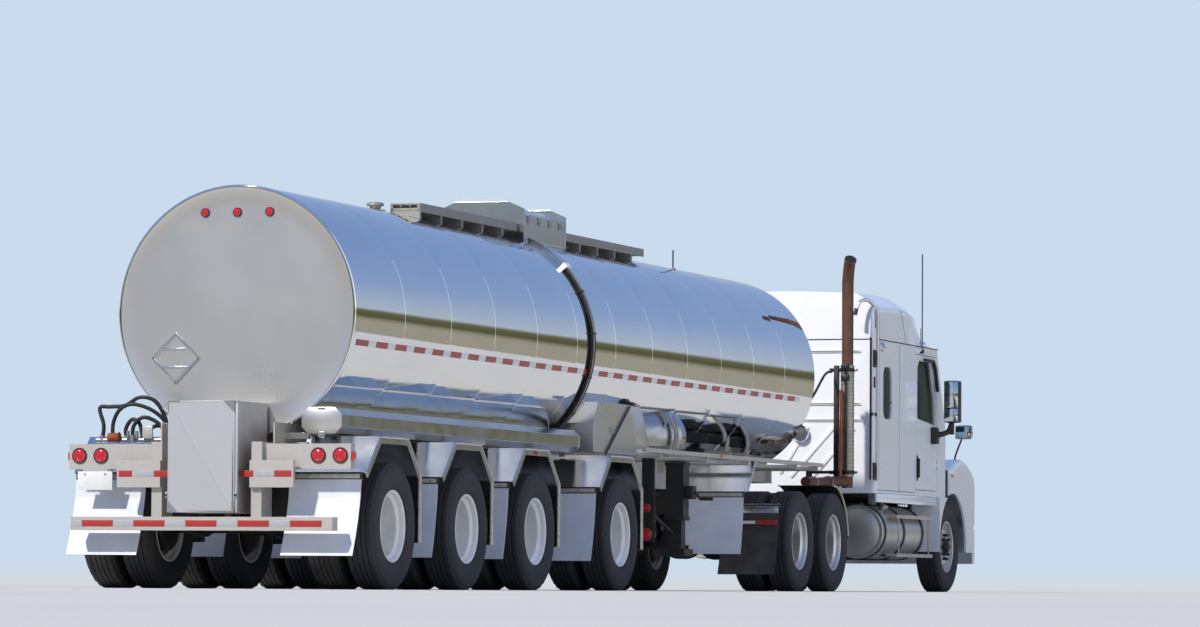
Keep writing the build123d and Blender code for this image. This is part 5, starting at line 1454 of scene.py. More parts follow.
@dataclass
class TopDeck:
    """The walkways' gratings, the manway cover's trim, the vent and the thin post on the barrel's top."""

    places: Places
    walks: tuple[tuple[float, float], ...] = ((3.1, 5.76), (7.09, 9.7))
    walk_y: tuple[float, float] = (-0.36, -0.09)
    walk_z: float = 3.41
    manway: tuple[float, float] = (5.8, 7.05)
    manway_half: float = 0.42
    ridge: float = 0.26
    eave_z: float = 3.55
    ridge_z: float = 3.62
    tooth: float = 0.06

    def build(self) -> None:
        """Makes the top deck's pieces."""
        self.gratings()
        self.cover_trim()
        self.fittings()

    def gratings(self) -> None:
        """Serrated cross bars and two runners in each walkway."""
        shape = Shape((GALVANISED_STEEL,))
        y0, y1 = self.walk_y
        z = self.walk_z
        for start, end in self.walks:
            a, b = self.places.x(start), self.places.x(end)
            count = int((b - a) / self.tooth)
            for i in range(1, count):
                at = a + i * (b - a) / count
                shape.box((at - 0.006, y0 + 0.004, z - 0.01), (at + 0.006, y1 - 0.004, z + 0.006))
            shape.box((a + 0.01, y0 + 0.006, z - 0.066), (b - 0.01, y1 - 0.006, z - 0.06))
            for y in (-0.27, -0.18):
                shape.box((a + 0.01, y - 0.006, z - 0.03), (b - 0.01, y + 0.006, z - 0.002))
            for y in (y0, y1):
                shape.box((a, y - 0.004, z - 0.074), (b, y + 0.004, z + 0.004), 0.002)
        shape.piece("walkway_gratings", "trailer", "frame_aluminium")

    def cover_trim(self) -> None:
        """Flanges round the cover's end plates, its hinge rail, its hold-down knobs and its foot flange."""
        shape = Shape((BRIGHT_ALUMINIUM, CHASSIS_ENAMEL, ZINC_PLATE))
        half, ridge = self.manway_half, self.ridge
        low = BARREL_Z + math.sqrt(BARREL_R**2 - half**2)
        ends = [self.places.x(station) for station in self.manway]
        wall = (
            (-half - 0.006, low + 0.01), (-half - 0.006, self.eave_z + 0.004),
            (-ridge, self.ridge_z + 0.006), (ridge, self.ridge_z + 0.006),
            (half + 0.006, self.eave_z + 0.004), (half + 0.006, low + 0.01)
        )
        for x, inward in zip(ends, (1, -1)):
            shape.frame([(x, y, z) for y, z in wall], 0.022, (0.03 * inward, 0, 0))
        a, b = ends
        for sign in (-1, 1):
            y = sign * (half * 0.97 + 0.002)
            shape.box((a + 0.04, y, low - 0.004), (b - 0.04, y + sign * 0.022, low + 0.014), 0.003)
        side, top = half * 0.97, self.eave_z - 0.05
        for i in range(4):
            at = a + 0.16 + i * (b - a - 0.32) / 3
            shape.box((at - 0.03, -side - 0.012, self.eave_z - 0.13), (at + 0.03, -side, top), 0.004, 2)
        shape.bar((a + 0.06, side + 0.012, top), (b - 0.06, side + 0.012, top), 0.011, 12, 2)
        shape.piece("manway_cover_trim", "trailer", "frame_aluminium")

    def fittings(self) -> None:
        """The low round vent on the middle line and the thin post near the front."""
        shape = Shape((GALVANISED_STEEL, CHASSIS_ENAMEL, ZINC_PLATE))
        top = BARREL_Z + BARREL_R
        x = self.places.x(2.95)
        vent = [
            (0.0, 0.085), (0.05, 0.083), (0.07, 0.076), (0.078, 0.064), (0.076, 0.052), (0.052, 0.048),
            (0.046, 0.02), (0.09, 0.014), (0.09, -0.004)
        ]
        shape.turned(vent, (x, 0, top), UP, 28)
        for dx, y in around(6, 0.072):
            shape.bar((x + dx, y, top + 0.012), (x + dx, y, top + 0.022), 0.007, 6, 2)
        x, y = self.places.x(10.9), -0.3
        foot = top - (BARREL_R - math.sqrt(BARREL_R**2 - y**2))
        shape.bar((x, y, foot - 0.004), (x, y, foot + 0.008), 0.03, 20)
        shape.bar((x, y, foot), (x, y, top + 0.15), 0.008, 10, 1)
        x = self.places.x(9.05)
        shape.box((x - 0.05, -0.09, top - 0.006), (x + 0.05, 0.05, top + 0.055), 0.01, 1)
        shape.bar((x, -0.02, top + 0.05), (x, -0.02, top + 0.085), 0.022, 16, 2)
        shape.piece("top_fittings", "trailer", "frame_aluminium")


@dataclass
class Pipes:
    """The drain pipes that hug the barrel's right side, and the looped hoses at the rear."""

    places: Places
    pipe_r: float = 0.014
    stations: tuple[float, ...] = (5.888, 5.922, 5.956)
    steps_per_turn: int = 140

    def build(self) -> None:
        """Makes both pieces, which stand for one node together."""
        self.drains()
        self.rear_hoses()

    def arc(
        self, shape: Shape, profile: Sequence[Point], start_deg: float, end_deg: float, finish: int
    ) -> None:
        """Turns a closed profile round the barrel, between two angles from its top towards the right."""
        angle = math.radians(end_deg - start_deg)
        steps = max(2, int(self.steps_per_turn * angle / math.tau))
        before = set(shape.bm.faces)
        shape.turned(
            profile, (0, 0, BARREL_Z), ALONG, steps, finish, closed=True, angle=angle,
            start=math.radians(start_deg)
        )
        fresh = [f for f in shape.bm.faces if f not in before]
        rims = [e for e in {e for f in fresh for e in f.edges} if len(e.link_faces) == 1]
        caps = bmesh.ops.holes_fill(shape.bm, edges=rims, sides=0)["faces"]
        shape.tag(caps, finish)
        bmesh.ops.recalc_face_normals(shape.bm, faces=fresh + caps)

    def pipe_profile(self, station: float, lift: float = 0.004) -> list[Point]:
        """A pipe's round section that lies on the barrel."""
        x, r = self.places.x(station), BARREL_R + self.pipe_r + lift
        return [(r + a, x + b) for a, b in around(12, self.pipe_r)]

    def band_profile(self, low: float, high: float, outer: float, inner: float = 0.001) -> list[Point]:
        """A strap's flat section between two stations, at heights over the barrel."""
        a, b = self.places.x(low), self.places.x(high)
        r = BARREL_R
        return [(r + inner, a), (r + outer, a), (r + outer, b), (r + inner, b)]

    def drains(self) -> None:
        """The bright channel from the manway, and the pipes that go on from it down to the frame."""
        shape = Shape((HOSE_RUBBER, BRIGHT_ALUMINIUM, WHITE_ENAMEL, GALVANISED_STEEL))
        channel, collar = self.band_profile(5.865, 5.985, 0.046), self.band_profile(5.858, 5.992, 0.054)
        strap, foot = self.band_profile(5.868, 5.976, 0.034), self.band_profile(5.845, 5.995, 0.05)
        runs = [(channel, 23.5, 47.0, 1), (collar, 46.0, 48.5, 2)]
        for station, upper, lower in zip(self.stations, (0, 3, 3), (0, 3, 0)):
            pipe = self.pipe_profile(station)
            runs += [(pipe, 47.0, 84.0, upper), (pipe, 84.0, 139.0, lower)]
        runs += [(strap, deg, deg + 0.7, 0) for deg in (62.0, 84.0, 106.0, 126.0)]
        for profile, start_deg, end_deg, finish in (*runs, (foot, 136.0, 140.0, 0)):
            self.arc(shape, profile, start_deg, end_deg, finish)
        shape.piece("drain_pipes", "trailer", "hose_rubber", replaces=["trailer_pipes"])

    def rear_hoses(self) -> None:
        """The loops of hose on their bar at the left rear, with a rusted coupling and a bracket."""
        x = self.places.x(-0.6)
        shape = Shape((HOSE_RUBBER, RUSTED_IRON, WARM_ALUMINIUM, ZINC_PLATE))
        shape.bar((x, 0.5003, 1.215), (x, 1.11, 1.215), 0.02, 16, 3)
        loops = (
            (
                (0.0, 1.06, 1.215), (0.0, 1.05, 1.34), (0.01, 1.09, 1.48), (0.0, 0.99, 1.49),
                (-0.02, 0.85, 1.5), (-0.03, 0.72, 1.565), (0.0, 0.6, 1.54), (0.03, 0.53, 1.43),
                (0.05, 0.5, 1.33)
            ),
            (
                (-0.02, 0.96, 1.215), (-0.02, 0.955, 1.36), (-0.03, 0.89, 1.47), (-0.03, 0.78, 1.51),
                (0.0, 0.64, 1.47), (0.04, 0.54, 1.39), (0.06, 0.5, 1.3)
            ),
            (
                (0.02, 0.85, 1.215), (0.02, 0.86, 1.31), (0.01, 0.8, 1.385), (0.0, 0.73, 1.35),
                (0.0, 0.7, 1.215)
            ),
            (
                (-0.03, 0.78, 1.215), (-0.03, 0.77, 1.33), (-0.03, 0.69, 1.4), (0.0, 0.59, 1.37),
                (0.02, 0.5, 1.28)
            ),
            ((0.03, 0.66, 1.215), (0.03, 0.64, 1.31), (0.04, 0.56, 1.33), (0.06, 0.5, 1.25))
        )
        for loop in loops:
            shape.hose([(x + dx, y, z) for dx, y, z in loop], 0.0165)
            dx, y, z = loop[0]
            shape.bar((x + dx, y, z - 0.012), (x + dx, y, z + 0.04), 0.024, 6, 3)
        dx, z = x - 0.03, 1.238
        shape.bar((dx, 0.905, z), (dx, 0.995, z), 0.036, 20, 1, bevel=0.006)
        shape.bar((dx, 0.895, z), (dx, 0.905, z), 0.044, 6, 1)
        shape.box((x - 0.04, 0.6, 1.225), (x - 0.02, 0.69, 1.33), 0.004, 2)
        for y in (0.745, 0.825):
            shape.bar((x - 0.02, y, 1.225), (x - 0.02, y, 1.29), 0.014, 12, 3)
        shape.piece("rear_hose_loops", "trailer", "hose_rubber", replaces=["trailer_pipes"])


@dataclass
class Underbody:
    """Fender trim, flap hardware, the hose tube's ends, the stand's fittings and the side markers."""

    places: Places
    axles: tuple[float, ...] = (0.0, 1.83, 3.665, 6.14)
    fender_out: float = 1.28
    low_reach: float = 0.65
    top_reach: float = 0.33
    top_z: float = 1.25
    low_z: float = 0.95
    skirt_z: float = 0.39

    def build(self) -> None:
        """Makes the underbody's pieces."""
        self.fender_edges()
        self.flap_bolts()
        self.tube_ends()
        self.stand()
        self.markers()

    def fender_edges(self) -> None:
        """A rolled bead along the outer edge of each fender, with a row of rivets."""
        shape = Shape((BRIGHT_ALUMINIUM, ZINC_PLATE))
        y = self.fender_out
        outline = (
            (-self.low_reach, self.low_z), (-self.top_reach, self.top_z), (self.top_reach, self.top_z),
            (self.low_reach, self.low_z), (self.low_reach, self.skirt_z)
        )
        inset, rivet = 0.032, 0.16
        for axle in self.axles:
            line = [(self.places.x(axle) + dx, z) for dx, z in outline]
            for (x0, z0), (x1, z1) in zip(line, line[1:]):
                shape.bar((x0, y, z0 - 0.006), (x1, y, z1 - 0.006), 0.008, 8)
                dx, dz = x1 - x0, z1 - z0
                length = math.hypot(dx, dz)
                count = max(2, int(length / rivet))
                for i in range(count):
                    t = (i + 0.5) / count
                    at_x, at_z = x0 + dx * t + dz / length * inset, z0 + dz * t - dx / length * inset
                    shape.bar((at_x, y - 0.001, at_z), (at_x, y + 0.004, at_z), 0.007, 8, 1)
        trim = [
            (10.3, 1.002), (10.345, 1.002), (10.603, 1.3), (10.72, 1.304), (10.72, 1.318), (10.56, 1.318)
        ]
        shape.plate([(self.places.x(t), y - 0.001, z) for t, z in trim], (0, 0.005, 0), 0.001)
        shape.both_sides()
        shape.piece("fender_beads", "trailer", "frame_aluminium")

    def flap_bolts(self) -> None:
        """A clamp strip with bolts along the top of each flap."""
        shape = Shape((WEATHERED_ALUMINIUM, ZINC_PLATE))
        rows = [(axle - self.low_reach - 0.0425, 0.895) for axle in self.axles] + [(10.2575, 0.945)]
        for station, z in rows:
            x = self.places.x(station)
            shape.box((x - 0.006, 0.64, z + 0.004), (x, 1.24, z + 0.04), 0.002)
            for i in range(6):
                y = 0.69 + i * 0.1
                shape.bar((x - 0.012, y, z + 0.022), (x - 0.005, y, z + 0.022), 0.01, 6, 1)
        shape.both_sides()
        shape.piece("flap_clamps", "trailer", "frame_aluminium")

    def tube_ends(self) -> None:
        """The hose tube's end caps with their hinge and latch, and its saddle bands."""
        shape = Shape((SATIN_STEEL, ZINC_PLATE, CHASSIS_ENAMEL))
        y, z, hy, hz, c = -0.815, 1.375, 0.174, 0.109, 0.057
        eight = [
            (y - hy, z - hz + c), (y - hy, z + hz - c), (y - hy + c, z + hz), (y + hy - c, z + hz),
            (y + hy, z + hz - c), (y + hy, z - hz + c), (y + hy - c, z - hz), (y - hy + c, z - hz)
        ]
        low, high = z - hz, z + hz - 0.006
        for station, way in ((-0.45, -1), (5.76, 1)):
            x = self.places.x(station)
            face, hinge = x + 0.012 * way, x + 0.01 * way
            shape.plate([(x, cy, cz) for cy, cz in eight], (0.012 * way, 0, 0), 0.003)
            shape.box(
                (hinge - 0.008, y - 0.03, low - 0.03), (hinge + 0.008, y + 0.03, low + 0.02), 0.004, 1
            )
            shape.bar((face, y - 0.03, high), (face, y + 0.03, high), 0.01, 12, 1)
        for station in (0.915, 2.6, 4.3):
            x = self.places.x(station)
            band = [(x - 0.02, y + (cy - y) * 1.012, z + (cz - z) * 1.02) for cy, cz in eight]
            shape.frame(band, 0.006, (0.04, 0, 0))
        nose = [(7.345, 1.292), (7.79, 1.292), (7.79, 1.34), (7.52, 1.744), (7.095, 1.758), (7.345, 1.418)]
        shape.plate([(self.places.x(t), -1.0395, z) for t, z in nose], (0, 0.3, 0), 0.004)
        shape.bar((self.places.x(7.1), -1.052, 1.745), (self.places.x(6.18), -1.052, 1.16), 0.009, 10, 2)
        a = self.places.x(6.03)
        belly = ((0.0, 1.3), (1.32, 1.3), (1.32, 1.42), (1.07, 1.752), (0.13, 1.752), (0.0, 1.56))
        shape.frame([(a + dx, -1.0405, z) for dx, z in belly], 0.02, (0, -0.005, 0))
        shape.box((a + 0.5, -1.052, 1.48), (a + 0.62, -1.04, 1.53), 0.003, 1)
        shape.piece("tube_and_box_trim", "trailer", "frame_aluminium")

    def stand(self) -> None:
        """The stand's gear case, its crank handle, foot ribs and the two capped pipes behind it."""
        shape = Shape((CHASSIS_ENAMEL, ZINC_PLATE, RED_ACRYLIC, RUSTED_IRON))
        x = self.places.x(8.98)
        for y in (-0.95, 0.95):
            for low, high in ((0.69, 0.73), (1.225, 1.264)):
                shape.box((x - 0.105, y - 0.1, low), (x + 0.105, y + 0.1, high), 0.006)
            for dx in (-0.13, 0.13):
                shape.box((x + dx - 0.006, y - 0.08, 0.405), (x + dx + 0.006, y + 0.08, 0.45), 0.002)
        shape.box((x - 0.07, -1.13, 0.9), (x + 0.07, -1.038, 1.03), 0.012)
        y, z = -1.131, 0.965
        for dx, dz in around(4, 0.045, 0.5):
            shape.bar((x + dx, y, z + dz), (x + dx, y - 0.008, z + dz), 0.008, 6, 1)
        x, y = self.places.x(8.3), -0.865
        shape.blocks(
            x, (-0.01, 0.01, -0.93, -0.8, 0.47, 1.33, 0.004),
            (-0.01, 0.01, -0.93, -0.495, 1.29, 1.33, 0.004)
        )
        for z, r in ((0.8, 0.04), (0.545, 0.055)):
            shape.bar((x - 0.06, y, z), (x + 0.12, y, z), r * 0.9, 24)
            rim = [(r * 0.92, 0.0), (r * 1.1, 0.0), (r * 1.1, 0.022), (r * 0.92, 0.028)]
            shape.turned(rim, (x - 0.055, y, z), BACK, 28, 3, closed=True)
            # The red caps take the red lens finish, so they glow faintly: painted light, as they are no
            # lamps.
            cap = [(0.0, 0.026), (r * 0.6, 0.024), (r * 0.92, 0.014), (r * 0.92, 0.0)]
            shape.turned(cap, (x - 0.055, y, z), BACK, 28, 2)
        shape.piece("stand_fittings", "trailer", "black_steel")

    def markers(self) -> None:
        """The amber marker ahead of the belly cabinet, and the small markers on the fenders."""
        shape = Shape((AMBER_ACRYLIC, CHASSIS_ENAMEL, RED_ACRYLIC))
        x = self.places.x(7.42)
        shape.blocks(
            x, (-0.1, 0.14, -0.985, -0.89, 1.715, 1.735, 0.004, 1),
            (-0.08, 0.06, -0.985, -0.915, 1.73, 1.8, 0.016, 1),
            (0.055, 0.125, -0.99, -0.915, 1.722, 1.796, 0.012, 0)
        )
        for sign in (-1, 1):
            for station, half, low, high, finish in (
                (3.665, 0.03, 1.198, 1.226, 2), (9.4, 0.04, 1.318, 1.344, 0)
            ):
                x = self.places.x(station)
                shape.box((x - half, sign * 1.281, low), (x + half, sign * 1.298, high), 0.004, finish)
        shape.piece("side_markers", "trailer", "red_lens")


@dataclass
class Cab:
    """The cab's seals, seams, handles, mirrors, visor, lamps and the strips on its rear corners."""

    places: Places
    half: float = 1.2
    rear: float = 15.62
    front: float = 18.76
    seam_z: float = 2.78

    def build(self) -> None:
        """Makes the cab's pieces."""
        self.seals()
        self.seams()
        self.rear_wall()
        self.extenders()
        self.visor_and_lamps()
        for side in Side:
            self.door_fittings(side)

    def rounded(self, x0: float, x1: float, z0: float, z1: float, radius: float, y: float) -> list[Point]:
        """The corners of a rounded rectangle on a side wall."""
        out = []
        middles = ((x1, z1, -1, -1), (x0, z1, 1, -1), (x0, z0, 1, 1), (x1, z0, -1, 1))
        for quarter, (x, z, sx, sz) in enumerate(middles):
            for i in range(7):
                a = math.radians(90 * quarter + 15 * i)
                at_x, at_z = x + sx * radius, z + sz * radius
                out.append((at_x + radius * math.cos(a), y, at_z + radius * math.sin(a)))
        return out

    def seals(self) -> None:
        """The rubber rings round the sleeper's windows and the windscreen."""
        shape = Shape((HOSE_RUBBER, MOULDED_BLACK))
        a, b = self.places.x(15.9), self.places.x(16.28)
        ring = self.rounded(a - 0.016, b + 0.016, 1.894, 2.506, 0.126, self.half - 0.004)
        shape.frame(ring, 0.03, (0, 0.01, 0))
        bar_y = self.half - 0.012
        shape.box((a + 0.01, bar_y, 2.09), (b - 0.01, bar_y + 0.012, 2.108), 0.003)
        shape.both_sides()
        x0, z0 = self.places.x(self.front), 1.88
        x1, z1 = self.places.x(18.35), self.seam_z
        run = math.hypot(x1 - x0, z1 - z0)
        ux, uz = (x1 - x0) / run, (z1 - z0) / run
        low, high = 0.03, run - 0.03

        def on_glass(up: float, out: float, y: float) -> Point:
            """A point up the windscreen and out from it."""
            return (x0 + ux * up + uz * out, y, z0 + uz * up - ux * out)

        rim = [on_glass(low, 0.004, -1.03), on_glass(low, 0.004, 1.03)]
        rim += [on_glass(high, 0.004, 1.03), on_glass(high, 0.004, -1.03)]
        shape.frame(rim, 0.04, (uz * 0.01, 0, -ux * 0.01))
        for y in (-0.85, 0.05):
            shape.bar(on_glass(0.03, 0.015, y), on_glass(0.1, 0.018, y + 0.62), 0.007, 8, 1)
            shape.bar(on_glass(0.08, 0.018, y + 0.28), on_glass(0.12, 0.018, y + 0.84), 0.008, 8)
        shape.piece("cab_seals", "tractor", "hose_rubber")

    def seams(self) -> None:
        """The dark joint under the roof cap and the panel joints on the sides."""
        shape = Shape((HOSE_RUBBER, WHITE_ENAMEL))
        x, y, seam = self.places.x, self.half, self.seam_z
        a = x(self.rear)
        back, skin = y - 0.004, y + 0.0015
        shape.box((a + 0.05, back, seam - 0.006), (x(18.345), y + 0.0025, seam + 0.006), 0.001)
        for station, low, high in ((17.55, seam + 0.01, seam + 0.21), (16.6, 1.095, seam - 0.02)):
            shape.box((x(station) - 0.003, back, low), (x(station) + 0.003, skin, high))
        shape.box((a + 0.04, back, 1.117), (x(17.3), skin, 1.123))
        shape.bar((x(16.68), y - 0.006, 3.14), (x(16.9), y - 0.002, 2.792), 0.004, 6)
        shape.box((x(15.66), y - 0.03, 0.985), (x(18.28), y - 0.002, 1.084), 0.01, 1)
        shape.both_sides()
        shape.box((a - 0.0025, -y + 0.06, seam - 0.006), (a + 0.004, y - 0.06, seam + 0.006), 0.001)
        shape.piece("cab_seams", "tractor", "hose_rubber")

    def rear_wall(self) -> None:
        """The pressed ribs with a painted shade line along each level one, the round work lamp and the air
        couplings on the cab's rear wall.
        """
        shape = Shape((WHITE_ENAMEL, CHROMIUM_PLATE, HOSE_RUBBER, RED_ACRYLIC, GREY_ABS))
        x = self.places.x(self.rear)
        # The narrow dark grey strip on each level rib is painted shade: the line of shadow that the
        # pressing casts.
        for z in (2.65, 2.07, 1.89):
            shape.blocks(
                x, (-0.014, 0.002, -1.02, 1.02, z - 0.016, z + 0.016, 0.006),
                (-0.0155, -0.01, -1.0, 1.0, z - 0.005, z + 0.005, 0.001, 4)
            )
        for start, end in (
            ((-0.95, 1.8), (-0.45, 1.24)), ((-0.72, 1.82), (-0.22, 1.26)), ((-0.42, 1.82), (-0.1, 1.3)),
            ((0.95, 1.8), (0.45, 1.24)), ((0.72, 1.82), (0.22, 1.26))
        ):
            shape.rib(x - 0.005, start, end, (0.009, 0.02), 0.007)
        at = (x - 0.002, -0.34, 1.74)
        bezel = [(0.08, 0.0), (0.098, 0.0), (0.098, 0.04), (0.09, 0.052), (0.08, 0.05)]
        glass = [(0.0, 0.044), (0.04, 0.042), (0.074, 0.03), (0.074, 0.0)]
        shape.turned(bezel + glass[2:], at, BACK, 36, 1, closed=True)
        shape.turned(glass, at, BACK, 36, 4)
        # The red coupling takes the red lens finish and glows faintly: painted light, as it is no lamp.
        for y, finish in ((0.1, 3), (0.22, 4), (0.34, 2)):
            shape.box((x - 0.03, y - 0.035, 1.4), (x + 0.002, y + 0.035, 1.48), 0.006, 4)
            shape.bar((x - 0.065, y, 1.44), (x - 0.028, y, 1.44), 0.026, 20, finish, bevel=0.005)
        shape.piece("cab_rear_fittings", "tractor", "white_paint")

    def extenders(self) -> None:
        """The rubber edges, black brackets and bright tubes on the panels behind the cab."""
        shape = Shape((HOSE_RUBBER, MOULDED_BLACK, BRIGHT_ALUMINIUM, WHITE_ENAMEL))
        x = self.places.x
        y = self.half
        shape.blocks(
            x(0.0), (15.405, 15.432, y - 0.024, y - 0.006, 1.225, 2.79, 0.004),
            (15.612, 15.63, y - 0.006, y + 0.005, 1.215, 3.02, 0.003)
        )
        for z in (2.56, 1.32):
            shape.blocks(
                x(0.0), (15.455, 15.57, y - 0.01, y + 0.022, z - 0.095, z + 0.095, 0.012, 1),
                (15.48, 15.545, y + 0.02, y + 0.03, z - 0.06, z + 0.06, 0.006, 1)
            )
        for a, b, low, high in (
            (15.49, 15.52, 2.24, 2.36), (15.4, 15.44, 1.93, 1.965), (15.53, 15.6, 1.93, 1.965)
        ):
            shape.box((x(a), y - 0.004, low), (x(b), y + 0.014, high), 0.006, 1)
        tube = [
            (x(15.602), y + 0.012, 1.22), (x(15.602), y + 0.012, 2.2), (x(15.602), y + 0.012, 3.02),
            (x(15.59), y - 0.01, 3.12), (x(15.545), y - 0.08, 3.2), (x(15.49), y - 0.15, 3.19),
            (x(15.455), y - 0.19, 3.11)
        ]
        shape.hose(tube, 0.02, 2, 16)
        shape.bar(tube[-1], (x(15.44), y - 0.2, 3.04), 0.023, 14, 1)
        cheek = [(15.44, 2.78), (15.6, 2.78), (15.6, 3.06), (15.575, 3.11), (15.5, 3.12), (15.45, 3.06)]
        shape.plate([(x(t), y - 0.028, z) for t, z in cheek], (0, 0.02, 0), 0.004, 3)
        shape.both_sides()
        shape.piece("side_extender_trim", "tractor", "black_plastic")

    def visor_and_lamps(self) -> None:
        """The sun visor over the windscreen, the five roof markers and the small chrome side lamps."""
        shape = Shape((SMOKED_ACRYLIC, AMBER_ACRYLIC, CHROMIUM_PLATE, MOULDED_BLACK))
        x = self.places.x
        side = [(18.56, 2.885), (18.59, 2.865), (18.628, 2.605), (18.604, 2.6)]
        shape.plate([(x(t), -0.99, z) for t, z in side], (0, 1.98, 0), 0.004)
        for y in (-0.85, 0.0, 0.85):
            shape.box((x(18.38), y - 0.02, 2.788), (x(18.585), y + 0.02, 2.806), 0.004, 3)
        for y in (-0.48, -0.24, 0.0, 0.24, 0.48):
            z = 2.972 - 0.035 * (y / 0.5) ** 2
            shape.box((x(18.385), y - 0.05, z - 0.045), (x(18.47), y + 0.05, z + 0.024), 0.016, 1)
        for sign in (-1, 1):
            at = (x(15.8), sign * (self.half - 0.002), 2.7)
            dome = [
                (0.0, 0.05), (0.026, 0.047), (0.046, 0.034), (0.052, 0.016), (0.058, 0.012), (0.058, 0.0)
            ]
            shape.turned(dome, at, (0, sign, 0), 28, 2)
        shape.piece("visor_and_markers", "tractor", "clear_glass")

    def door_fittings(self, side: Side) -> None:
        """A door's window seal, handle, deflector and the mirror's housing and glasses."""
        sign = side.value
        x = self.places.x
        y = sign * (self.half + 0.001)

        def outward(deep: float) -> Point:
            """A push away from the truck."""
            return (0, sign * deep, 0)

        shape = Shape((HOSE_RUBBER, MOULDED_BLACK, SILVERED_GLASS))
        window = (
            (17.378, 1.94), (18.236, 1.882), (18.208, 2.206), (18.024, 2.644), (17.47, 2.644),
            (17.378, 2.552)
        )
        shape.frame([(x(t), y, z) for t, z in window], 0.026, outward(0.008))
        handle = self.rounded(x(17.372), x(17.432), 1.255, 1.545, 0.029, y)
        shape.plate(handle, outward(0.005), 0.0, 1)
        shape.box((x(17.388), y + sign * 0.006, 1.29), (x(17.412), y + sign * 0.034, 1.51), 0.008, 1)
        shade = (
            (17.64, 2.65), (18.03, 2.65), (18.14, 2.56), (18.25, 2.3), (18.215, 2.29), (18.105, 2.53),
            (18.01, 2.615), (17.64, 2.625)
        )
        shape.plate([(x(t), y + sign * 0.008, z) for t, z in shade], outward(0.035), 0.003, 1)
        inner, outer = 1.34, 1.51
        for a, b, over, low, high, bevel, finish in (
            (18.092, 18.226, 0.006, 1.934, 2.416, 0.03, 1),
            (18.066, 18.079, -0.004, 2.106, 2.404, 0.003, 2),
            (18.066, 18.079, -0.004, 1.948, 2.094, 0.003, 2)
        ):
            shape.box(
                (x(a), sign * (inner - over), low), (x(b), sign * (outer + over), high), bevel, finish
            )
        arm = ((18.075, 1.235, 1.79), (18.1, 1.3, 1.8), (18.14, 1.38, 1.84), (18.155, 1.42, 1.96))
        shape.hose([(x(t), sign * y, z) for t, y, z in arm], 0.03, 1)
        foot = ((18.01, 1.69), (18.13, 1.69), (18.15, 1.8), (18.1, 1.88), (18.01, 1.88))
        shape.plate([(x(t), y, z) for t, z in foot], outward(0.075), 0.012, 1)
        shape.piece(f"door_{side.word}_fittings", f"door_{side.word}", "black_plastic")


